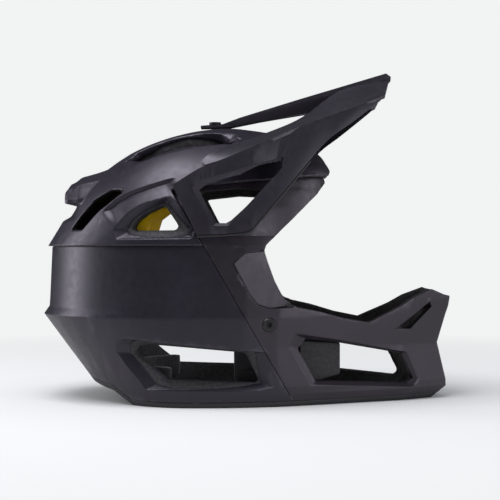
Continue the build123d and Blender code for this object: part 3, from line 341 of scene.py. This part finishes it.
SHELL = shell_plastic("satin_shell", (0.0085, 0.0072, 0.0120), (0.04, 0.037, 0.047), 0.42)
FACE = shell_plastic("satin_face_frame", (0.0110, 0.0085, 0.0120), (0.045, 0.040, 0.045), 0.42)
PEAK = shell_plastic("satin_visor", (0.0095, 0.0085, 0.0120), (0.04, 0.037, 0.045), 0.42)
FOAM = bead_foam("bead_foam", (0.040, 0.040, 0.044))
DARK_FOAM = bead_foam("dark_bead_foam", (0.020, 0.019, 0.021))
TRIM = plain_plastic("edge_rubber", (0.012, 0.012, 0.013), 0.62)
HARDWARE = plain_plastic("grained_plastic", (0.017, 0.017, 0.019), 0.45)
BUSH = plain_plastic("bush_plastic", (0.035, 0.035, 0.038), 0.35)
DIAL = plain_plastic("dial_rubber", (0.020, 0.020, 0.022), 0.60, 1500.0, 0.0001)
RELEASE = plain_plastic("release_plastic", (0.22, 0.02, 0.012), 0.35)
LINER = plain_plastic("slip_liner_sheet", (0.80, 0.52, 0.010), 0.38, 1200.0, 0.00004)
SCREW = coated_metal("black_screw", (0.010, 0.010, 0.011), 0.6, 0.42)
RIVET = coated_metal("dull_rivet", (0.32, 0.32, 0.33), 1.0, 0.35)
PAD = knit_fabric("pad_knit", (0.022, 0.022, 0.025))
WEBBING = webbing_weave("strap_webbing", (0.014, 0.014, 0.016))


# Smooth shape of the shells

def cubic(xs, ys, x):
    """Smooth curve through points, without overshoot."""
    slope = np.diff(ys) / np.diff(xs)
    tangent = np.concatenate(([slope[0]], 0.5 * (slope[1:] + slope[:-1]), [slope[-1]]))
    flat = np.concatenate(([False], slope[1:] * slope[:-1] <= 0, [False]))
    tangent[flat] = 0.0
    x = np.clip(x, xs[0], xs[-1])
    index = np.clip(np.searchsorted(xs, x) - 1, 0, len(xs) - 2)
    width = xs[index + 1] - xs[index]
    t = (x - xs[index]) / width
    h00, h10 = 2 * t ** 3 - 3 * t ** 2 + 1, t ** 3 - 2 * t ** 2 + t
    h01, h11 = 3 * t ** 2 - 2 * t ** 3, t ** 3 - t ** 2
    return (h00 * ys[index] + h10 * width * tangent[index]
            + h01 * ys[index + 1] + h11 * width * tangent[index + 1])


def oval_reach(angle, ahead, behind, half):
    """Distance from the middle to a rounded oval, at an angle."""
    reach = np.where(np.cos(angle) > 0, ahead, behind)
    n = ROUNDNESS
    return (np.abs(np.cos(angle) / reach) ** n + np.abs(np.sin(angle) / half) ** n) ** (-1 / n)


def straight_reach(angle, ahead, behind, half, steps):
    """The same for the oval's polygon with that many steps in half a turn."""
    length = np.where(np.cos(angle) > 0, ahead, behind)
    turn = np.arctan2(np.abs(np.sin(angle)) / half, np.cos(angle) / length)
    # the parameter of the oval at which that direction lies
    n = ROUNDNESS
    across, along = np.abs(np.sin(turn)) ** (n / 2), np.abs(np.cos(turn)) ** (n / 2)
    parameter = np.arctan2(across, np.sign(np.cos(turn)) * along)
    lower = np.floor(parameter / (math.pi / steps)) * (math.pi / steps)
    upper = lower + math.pi / steps

    def corner(t):
        c, s = np.cos(t), np.sin(t)
        x = np.sign(c) * np.abs(c) ** (2 / n) * np.where(c > 0, ahead, behind)
        return x, np.abs(s) ** (2 / n) * half

    (ax, ay), (bx, by) = corner(lower), corner(upper)
    dx, dy = np.cos(angle), np.abs(np.sin(angle))
    cross = dx * (by - ay) - dy * (bx - ax)
    safe = np.where(np.abs(cross) < 1e-12, 1.0, cross)
    reach = (ax * (by - ay) - ay * (bx - ax)) / safe
    return np.where(np.abs(cross) < 1e-12, oval_reach(angle, ahead, behind, half), reach)


def round_out(points):
    """Moves points of the straight-sided shells onto the smooth hull."""
    x, y, z = points.T
    share = z / CROWN_Z
    rows = np.array(CROWN_LEVELS)
    crown = share >= rows[0, 0]
    out = points.copy()
    values = [np.interp(share, rows[:, 0], rows[:, column]) for column in range(1, 5)]
    smooth = [cubic(rows[:, 0], rows[:, column], share) for column in range(1, 5)]

    def parts(v):
        rear, middle, front, half = v
        return LENGTH * middle, LENGTH * (front - middle), LENGTH * (middle - rear), HALF_WIDTH * half

    middle, ahead, behind, half = parts(values)
    middle_s, ahead_s, behind_s, half_s = parts(smooth)
    angle = np.arctan2(y, x - middle)
    was = straight_reach(angle, ahead, behind, half, CROWN_STEPS)
    now = oval_reach(angle, ahead_s, behind_s, half_s)
    scale = np.where(crown, now / was, 1.0)
    scale = np.clip(scale, *HULL_SCALES)
    out[:, 0] = np.where(crown, middle + (x - middle) * scale, x)
    out[:, 1] = np.where(crown, y * scale, y)
    # lower hull, behind its widest place
    rows = np.array(LOW_LEVELS)
    low = (share < CROWN_LEVELS[0][0]) & (x < LENGTH * MID_SHARE)
    rear, half = [np.interp(share, rows[:, 0], rows[:, column]) for column in (1, 2)]
    middle = LENGTH * MID_SHARE
    behind, half = middle - LENGTH * rear, HALF_WIDTH * half
    angle = np.arctan2(y, x - middle)
    was = straight_reach(angle, behind, behind, half, LOW_STEPS * 2)
    now = oval_reach(angle, behind, behind, half)
    scale = np.where(low, np.clip(now / was, *HULL_SCALES), 1.0)
    out[:, 0] = np.where(low, middle + (x - middle) * scale, out[:, 0])
    out[:, 1] = np.where(low, y * scale, out[:, 1])
    return out


# Mesh helpers

def points_of(mesh):
    """Vertex places of a mesh as an array."""
    places = np.empty(len(mesh.vertices) * 3)
    mesh.vertices.foreach_get("co", places)
    return places.reshape(-1, 3)


def put_points(mesh, places):
    """Writes vertex places back."""
    mesh.vertices.foreach_set("co", places.ravel())
    mesh.update()


def new_object(name, mesh):
    """Object with a mesh, in the scene."""
    obj = bpy.data.objects.new(name, mesh)
    bpy.context.scene.collection.objects.link(obj)
    return obj


def applied(obj):
    """The object's mesh with its modifiers worked in, and none left."""
    graph = bpy.context.evaluated_depsgraph_get()
    mesh = bpy.data.meshes.new_from_object(obj.evaluated_get(graph))
    obj.modifiers.clear()
    old = obj.data
    obj.data = mesh
    bpy.data.meshes.remove(old)
    return obj


def remeshed(name, node, voxel, smoothing=3):
    """Copy of a CAD node as one even skin with softened edges."""
    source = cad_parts[node]
    obj = new_object(name, source.data.copy())
    obj.data.materials.clear()
    remesh = obj.modifiers.new("skin", "REMESH")
    remesh.mode = "VOXEL"
    remesh.voxel_size = voxel
    if smoothing:
        soften = obj.modifiers.new("soften", "SMOOTH")
        soften.factor = 0.5
        soften.iterations = smoothing
    applied(obj)
    return obj


def finish_piece(obj, material, body, slot, *nodes):
    """Smooth shading, material, body and the nodes that the piece stands for."""
    obj.data.materials.clear()
    obj.data.materials.append(material)
    obj.data.shade_smooth()
    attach(obj, body)
    if nodes:
        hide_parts(*nodes)
    return obj


def moulded(name, node, voxel, material, body, slot, smoothing=3, rounded=True):
    """Moulded piece in place of a rigid CAD node."""
    obj = remeshed(name, node, voxel, smoothing)
    if rounded:
        put_points(obj.data, round_out(points_of(obj.data)))
    return finish_piece(obj, material, body, slot, node)


def cut_by(obj, cutter):
    """Cuts a closed mesh out of a piece and removes the cutter."""
    change = obj.modifiers.new("cut", "BOOLEAN")
    change.operation = "DIFFERENCE"
    change.solver = "MANIFOLD"
    change.object = cutter
    applied(obj)
    bpy.data.objects.remove(cutter)
    return obj


def tube(name, rings):
    """Closed solid through rings of equally many places."""
    mesh = bpy.data.meshes.new(name)
    work = bmesh.new()
    rows = [[work.verts.new(place) for place in ring] for ring in rings]
    work.faces.new(rows[0])
    work.faces.new(rows[-1])
    for low, high in zip(rows, rows[1:]):
        for index in range(len(low)):
            after = (index + 1) % len(low)
            work.faces.new((low[index], low[after], high[after], high[index]))
    bmesh.ops.recalc_face_normals(work, faces=work.faces)
    work.to_mesh(mesh)
    work.free()
    return new_object(name, mesh)


def joined(name, pieces):
    """One object with the meshes of several, which go."""
    work = bmesh.new()
    for piece in pieces:
        work.from_mesh(piece.data)
    mesh = bpy.data.meshes.new(name)
    work.to_mesh(mesh)
    work.free()
    for piece in pieces:
        bpy.data.objects.remove(piece)
    return new_object(name, mesh)


def rounded_edges(obj, width, angle):
    """Small rounded edges, with clean smooth faces between them."""
    edge = obj.modifiers.new("edge", "BEVEL")
    edge.width = width
    edge.segments = 3
    edge.limit_method = "ANGLE"
    edge.angle_limit = math.radians(angle)
    return applied(obj)


def refined(obj, longest):
    """Divides a mesh until no edge is longer than a length."""
    work = bmesh.new()
    work.from_mesh(obj.data)
    for _ in range(9):
        long_edges = [edge for edge in work.edges if edge.calc_length() > longest]
        if not long_edges:
            break
        bmesh.ops.subdivide_edges(work, edges=long_edges, cuts=1)
        bmesh.ops.triangulate(work, faces=work.faces)
    work.to_mesh(obj.data)
    work.free()
    return obj


def crisp_shell(name, node, material, slot):
    """Shell in place of its CAD node, with the same crisp outlines on the smooth hull."""
    obj = new_object(name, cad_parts[node].data.copy())
    weld = obj.modifiers.new("weld", "WELD")
    weld.merge_threshold = WELD_REACH
    flat = obj.modifiers.new("flat", "DECIMATE")
    flat.decimate_type = "DISSOLVE"
    flat.angle_limit = math.radians(FLAT_ANGLE)
    refined(rounded_edges(applied(obj), SHELL_ROUND, SHELL_BEND), SHELL_EDGE)
    put_points(obj.data, round_out(points_of(obj.data)))
    finish_piece(obj, material, "helmet", slot, node)
    obj.data.set_sharp_from_angle(angle=math.radians(SHELL_BEND))
    return obj


def from_line(places, line):
    """Signed distance in the side view to a line of places, above it positive, and how far along."""
    flat = places[:, [0, 2]]
    best = np.full(len(flat), 1e9)
    signed = np.zeros(len(flat))
    along = np.zeros(len(flat))
    spans = list(zip(line, line[1:]))
    for index, (start, end) in enumerate(spans):
        start, end = np.array(start), np.array(end)
        run = end - start
        t = np.clip((flat - start) @ run / (run @ run), 0, 1)
        away = flat - (start + t[:, None] * run)
        far = np.linalg.norm(away, axis=1)
        side = np.sign(run[0] * away[:, 1] - run[1] * away[:, 0])
        nearer = far < best
        best = np.where(nearer, far, best)
        signed = np.where(nearer, far * side, signed)
        along = np.where(nearer, (index + t) / len(spans), along)
    return signed, along


def step(low, high, value):
    """Smooth rise from 0 to 1."""
    t = np.clip((value - low) / (high - low), 0, 1)
    return t * t * (3 - 2 * t)


def sink(obj, line, profile):
    """Presses a shell in along a line of the side view, by a profile of the distance from it."""
    places = points_of(obj.data)
    signed, along = from_line(places, [(LENGTH * x, CROWN_Z * z) for x, z in line])
    depth = profile(signed) * step(0, LINE_END_SHARE, along) * step(0, LINE_END_SHARE, 1 - along)
    middle = np.array([LENGTH * MID_SHARE, 0.0, SEAM_Z])
    out = places - middle
    out /= np.linalg.norm(out, axis=1, keepdims=True)
    put_points(obj.data, places - out * depth[:, None])


def dress(node, material, bevel=0.0):
    """Keeps a CAD node, with a better material and small rounded edges."""
    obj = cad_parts[node]
    if not obj.material_slots:
        obj.data.materials.append(material)
    for place in obj.material_slots:
        place.link = "OBJECT"
        place.material = material
    if bevel:
        weld = obj.modifiers.new("weld", "WELD")
        weld.merge_threshold = WELD_REACH / 2
        edge = obj.modifiers.new("edge", "BEVEL")
        edge.width = bevel
        edge.segments = 2
        edge.limit_method = "ANGLE"
        edge.angle_limit = math.radians(HARDWARE_BEND)
    return obj


# Shells, visor and foam

def window_slope(side):
    """Space that slopes from the outer outline of an arm's window in to its hole."""
    def ring(shares, inward):
        return [(LENGTH * x, side * (HALF_WIDTH * y - inward), CROWN_Z * z) for x, y, z in shares]

    outer = [ring(WINDOW_OUTER_SHARES, -WINDOW_PROUD), ring(WINDOW_OUTER_SHARES, 0.0)]
    inner = [ring(WINDOW_HOLE_SHARES, WINDOW_SLOPE), ring(WINDOW_HOLE_SHARES, WINDOW_SLOPE * 3)]
    return tube("window_slope", outer + inner)


def side_place(share, side):
    """Place on one side of three shares."""
    return np.array([LENGTH * share[0], side * HALF_WIDTH * share[1], CROWN_Z * share[2]])


def swept(name, stations, away, side):
    """Sheet drawn smoothly through pairs of edge places, given its thickness by an offset."""
    rows = np.array([np.concatenate([side_place(a, side), side_place(b, side)]) for a, b in stations])
    index = np.arange(len(rows), dtype=float)
    fine = np.linspace(0, len(rows) - 1, (len(rows) - 1) * CURVE_STEPS + 1)
    curves = np.stack([cubic(index, rows[:, column], fine) for column in range(6)], axis=1)
    away = np.array(away)
    rings = [[row[:3], row[3:], row[3:] + away, row[:3] + away] for row in curves]
    return tube(name, [[tuple(place) for place in ring] for ring in rings])


def visor_piece():
    """Peak with two side arms, bevelled windows and the middle spine that leaves a gap under it."""
    pieces = []
    for side in (-1, 1):
        arm = swept("arm", VISOR_SIDE_SHARES, (0, -side * VISOR_T, 0), side)
        pieces.append(cut_by(arm, window_slope(side)))
        pieces.append(swept("peak", VISOR_TOP_SHARES, (0, 0, -VISOR_T), side))
    outline = [(LENGTH * x, CROWN_Z * z) for x, z in SPINE_SHARES]
    pieces.append(tube("spine", [[(x, y, z) for x, z in outline] for y in (-SPINE_HALF, SPINE_HALF)]))
    obj = rounded_edges(joined("visor_moulded", pieces), VISOR_ROUND, VISOR_BEND)
    finish_piece(obj, PEAK, "visor", "visor", "visor")
    obj.data.set_sharp_from_angle(angle=math.radians(VISOR_SHARP))
    return obj


def visor_shadow_bead(side):
    """Dark rubber bead along the lower edge of a visor arm, painted shadow of the undercut beneath the arm.
    """
    rows = np.array([side_place(low, side) for _, low in VISOR_SIDE_SHARES[SHADOW_BEAD_START:]])
    index = np.arange(len(rows), dtype=float)
    fine = np.linspace(0, len(rows) - 1, len(rows) * CURVE_STEPS)
    line = np.stack([cubic(index, rows[:, column], fine) for column in range(3)], axis=1)
    line += np.array([0, -side * VISOR_T / 2, -SHADOW_BEAD_DROP])
    turns = np.linspace(0, math.tau, 8, endpoint=False)
    rings = []
    for place, ahead in zip(line, np.gradient(line, axis=0)):
        across = np.array([0.0, 1.0, 0.0])
        over = np.cross(ahead / np.linalg.norm(ahead), across)
        rings.append([tuple(place + SHADOW_BEAD_R * (math.cos(t) * across + math.sin(t) * over)) for t in turns])
    return finish_piece(tube("visor_shadow_bead", rings), TRIM, "visor", "trim")


def chin_rib(side):
    """Foam rib behind the rear half of a chin vent."""
    outer = [side_place(share, side) for share in RIB_SHARES]
    inner = [place - np.array([0, side * RIB_T, 0]) for place in outer]
    rib = tube("chin_rib", [[tuple(place) for place in ring] for ring in (outer, inner)])
    rounded_edges(rib, RIB_ROUND, PLATE_BEND)
    return finish_piece(rib, DARK_FOAM, "helmet", "foam")


def cheek_panel(side):
    """Facet of the cheek that folds in towards the eye port."""
    start = LENGTH * CHEEK_FACET_SHARES[0][0]
    turn = math.tan(math.radians(FACET_ANGLE))

    def ring(sunk):
        return [(LENGTH * x, side * (HALF_WIDTH * FACET_START_SHARE - (LENGTH * x - start) * turn - sunk),
                 CROWN_Z * z) for x, z in CHEEK_FACET_SHARES]

    panel = tube("cheek_panel", [ring(-FACET_PROUD), ring(FACET_T)])
    rounded_edges(panel, FACET_ROUND, PLATE_BEND)
    finish_piece(panel, FACE, "helmet", "face")
    panel.data.set_sharp_from_angle(angle=math.radians(FACET_SHARP))
    return panel


def seam_shade_strip():
    """Dark strip behind the seam between the crown and the rear shell, painted shade that makes the seam's
    gap read black.
    """
    half, rear = HALF_WIDTH * SEAM_SHADE_SIDE_SHARE, LENGTH * SEAM_SHADE_REAR_SHARE
    middle = LENGTH * MID_SHARE
    behind = rear + middle
    rings = []
    angles = np.linspace(math.pi / 2, math.pi * 3 / 2, SEAM_SHADE_PLACES)
    reaches = oval_reach(angles, behind, behind, half)
    round_the_back = [(middle + reach * math.cos(turn), reach * math.sin(turn))
                      for turn, reach in zip(angles, reaches)]
    front = middle + SEAM_SHADE_AHEAD
    places = [(front, half)] + round_the_back + [(front, -half)]
    for x, y in places:
        inner = np.array([x - middle, y]) * (1 - SEAM_SHADE_T / half) + np.array([middle, 0.0])
        low, high = SEAM_Z - SEAM_SHADE_HALF, SEAM_Z + SEAM_SHADE_HALF
        rings.append([(x, y, low), (x, y, high), (inner[0], inner[1], high), (inner[0], inner[1], low)])
    return finish_piece(tube("seam_shade_strip", rings), TRIM, "helmet", "trim")


def open_liner():
    """Slip liner with its wide opening behind the temples."""
    obj = new_object("slip_liner_sheet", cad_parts["slip_liner"].data.copy())
    work = bmesh.new()
    work.from_mesh(obj.data)
    gone = []
    for face in work.faces:
        x, y, z = face.calc_center_median()
        if x > LINER_GAP_BACK and abs(y) > LINER_GAP_SIDE and z < LINER_GAP_TOP:
            gone.append(face)
    bmesh.ops.delete(work, geom=gone, context="FACES")
    work.to_mesh(obj.data)
    work.free()
    return finish_piece(obj, LINER, "helmet", "liner", "slip_liner")


def valley(obj, extra=0.0):
    """Long valley beside the crown's slots."""
    depth = VALLEY_DEPTH + extra
    sink(obj, VALLEY_SHARES, lambda d: depth * step(*VALLEY_FADE, d) * step(*VALLEY_FADE, -d))


def crown_crease(obj):
    """Step in the side of the crown."""
    sink(obj, CREASE_SHARES, lambda d: CREASE_DEPTH * step(*CREASE_RISE, d) * step(*CREASE_FADE, -d))


def short_tail(obj):
    """Draws the end of the crown's tail in."""
    places = points_of(obj.data)
    places[:, 0] += TAIL_PULL * step(*TAIL_BACK, -places[:, 0]) * step(*TAIL_UP, places[:, 2])
    put_points(obj.data, places)


crown_shell = moulded("crown_shell_moulded", "crown_shell", CROWN_VOXEL, SHELL, "helmet", "shell")
for shape in (crown_crease, valley, short_tail):
    shape(crown_shell)
crisp_shell("rear_shell_moulded", "rear_shell", SHELL, "shell")
crisp_shell("front_shell_moulded", "front_shell", FACE, "face")
crown_foam = moulded("crown_foam_moulded", "crown_foam", FOAM_VOXEL, FOAM, "helmet", "foam")
moulded("rear_foam_moulded", "rear_foam", FOAM_VOXEL, FOAM, "helmet", "foam")
moulded("chin_foam_moulded", "chin_foam", FOAM_VOXEL, DARK_FOAM, "helmet", "foam")
valley(crown_foam, FOAM_SINK)
short_tail(crown_foam)
moulded("lower_trim_moulded", "lower_trim", VOXEL, TRIM, "helmet", "trim", smoothing=2)
visor_piece()
for side in (-1, 1):
    # dark bead under the visor arm: painted shadow of its undercut
    visor_shadow_bead(side)
    chin_rib(side)
    cheek_panel(side)
# dark strip behind the crown's seam: painted shadow in the seam's gap
seam_shade_strip()
open_liner()

# Hardware that keeps its CAD shape: node, material, rounding of its edges
for node, material, rounding in (
        ("liner_anchors", TRIM, 0.0), ("cheek_screws", SCREW, 0.0), ("visor_pivots", HARDWARE, 0.0004),
        ("pivot_bushes", BUSH, 0.0), ("visor_tab_screw", SCREW, 0.0004), ("fit_cradle", HARDWARE, 0.0004),
        ("cradle_guides", BUSH, 0.0004), ("dial_housing", HARDWARE, 0.0005), ("fit_dial", DIAL, 0.0003),
        ("strap_rivets", RIVET, 0.0004), ("buckle_base", HARDWARE, 0.0005),
        ("buckle_tongue", HARDWARE, 0.0005), ("buckle_release", RELEASE, 0.0004)):
    dress(node, material, rounding)


# Pads

def puffed(name, node, voxel, inset, cap):
    """Padded piece: the CAD form drawn in a little and blown up as cloth, within a cap."""
    obj = remeshed(name, node, voxel, 2)
    mesh = obj.data
    normals = np.empty(len(mesh.vertices) * 3)
    mesh.vertices.foreach_get("normal", normals)
    start = points_of(mesh) - normals.reshape(-1, 3) * inset
    put_points(mesh, start)
    cloth = obj.modifiers.new("cloth", "CLOTH")
    cloth.settings.use_pressure = True
    cloth.settings.uniform_pressure_force = PAD_PRESSURE
    cloth.settings.effector_weights.gravity = 0.0
    cloth.settings.quality = 4
    scene = bpy.context.scene
    for number in range(1, PAD_FRAMES + 1):
        scene.frame_set(number)
    applied(obj)
    scene.frame_set(1)
    moved = points_of(obj.data) - start
    far = np.linalg.norm(moved, axis=1, keepdims=True)
    moved = moved * np.minimum(1.0, cap / np.maximum(far, 1e-9))
    put_points(obj.data, start + moved)
    divide = obj.modifiers.new("divide", "SUBSURF")
    divide.levels = 1
    applied(obj)
    finish_piece(obj, PAD, "helmet", "pad", node)
    return obj


for node, voxel, inset, cap, fill in PADS:
    puffed(f"{node}_soft", node, voxel, inset, cap)


# Straps

def soft_copy(name, node, material, slot, voxel, smoothing):
    """Webbing or a sleeve in place of its plain CAD solid."""
    obj = remeshed(name, node, voxel, smoothing)
    return finish_piece(obj, material, "helmet", slot, node)


for side in ("right", "left"):
    soft_copy(f"strap_{side}_webbing", f"strap_{side}", WEBBING, "webbing", 0.0007, 6)
    sleeve = soft_copy(f"strap_pad_{side}_soft", f"strap_pad_{side}", PAD, "pad", 0.0012, 8)


# Floor, light and camera

def studio():
    """Pale floor and backdrop, soft light and the photograph's camera."""
    mesh = bpy.data.meshes.new("floor")
    work = bmesh.new()
    bmesh.ops.create_grid(work, x_segments=1, y_segments=1, size=2.0)
    work.to_mesh(mesh)
    work.free()
    floor = new_object("floor", mesh)
    material, tree, shader, place = new_material("pale_floor")
    shader.inputs["Base Color"].default_value = (*FLOOR_COLOUR, 1.0)
    shader.inputs["Roughness"].default_value = 1.0
    shader.inputs["Specular IOR Level"].default_value = 0.0
    distance = tree.nodes.new("ShaderNodeVectorMath")
    distance.operation = "LENGTH"
    tree.links.new(place, distance.inputs[0])
    fade = ramp(tree, distance.outputs["Value"], *FLOOR_FADE, 1.0, 0.0)
    tree.links.new(fade, shader.inputs["Alpha"])
    floor.data.materials.append(material)
    world = bpy.data.worlds.new("studio")
    world.use_nodes = True
    tree = world.node_tree
    background = tree.nodes["Background"]
    background.inputs["Color"].default_value = (*ROOM_COLOUR, 1.0)
    background.inputs["Strength"].default_value = ROOM_LIGHT
    shiny = tree.nodes.new("ShaderNodeBackground")
    shiny.inputs["Color"].default_value = (*SHINE_COLOUR, 1.0)
    shiny.inputs["Strength"].default_value = ROOM_SHINE
    seen = tree.nodes.new("ShaderNodeBackground")
    seen.inputs["Color"].default_value = (*BACKDROP_COLOUR, 1.0)
    path = tree.nodes.new("ShaderNodeLightPath")
    glossy = tree.nodes.new("ShaderNodeMixShader")
    tree.links.new(path.outputs["Is Glossy Ray"], glossy.inputs[0])
    tree.links.new(background.outputs[0], glossy.inputs[1])
    tree.links.new(shiny.outputs[0], glossy.inputs[2])
    choose = tree.nodes.new("ShaderNodeMixShader")
    tree.links.new(path.outputs["Is Camera Ray"], choose.inputs[0])
    tree.links.new(glossy.outputs[0], choose.inputs[1])
    tree.links.new(seen.outputs[0], choose.inputs[2])
    tree.links.new(choose.outputs[0], tree.nodes["World Output"].inputs["Surface"])
    bpy.context.scene.world = world

    def lamp(name, place, aim, size, power):
        light = bpy.data.lights.new(name, "AREA")
        light.shape = "RECTANGLE"
        light.size, light.size_y = size
        light.energy = power
        light.color = LAMP_COLOUR
        obj = bpy.data.objects.new(name, light)
        bpy.context.scene.collection.objects.link(obj)
        obj.location = place
        obj.rotation_euler = (Vector(aim) - Vector(place)).to_track_quat("-Z", "Y").to_euler()

    for values in LAMPS:
        lamp(*values)
    camera = bpy.data.cameras.new("camera")
    camera.sensor_width = SENSOR_WIDTH
    camera.lens = SENSOR_WIDTH * CAMERA_AWAY / VIEW_WIDTH
    camera.clip_start = 0.01
    obj = bpy.data.objects.new("camera", camera)
    bpy.context.scene.collection.objects.link(obj)
    obj.location = (CAMERA_X, -CAMERA_AWAY, CAMERA_Z)
    obj.rotation_euler = (math.radians(90), 0, 0)
    bpy.context.scene.camera = obj
    bpy.context.scene.view_settings.view_transform = "Standard"


studio()
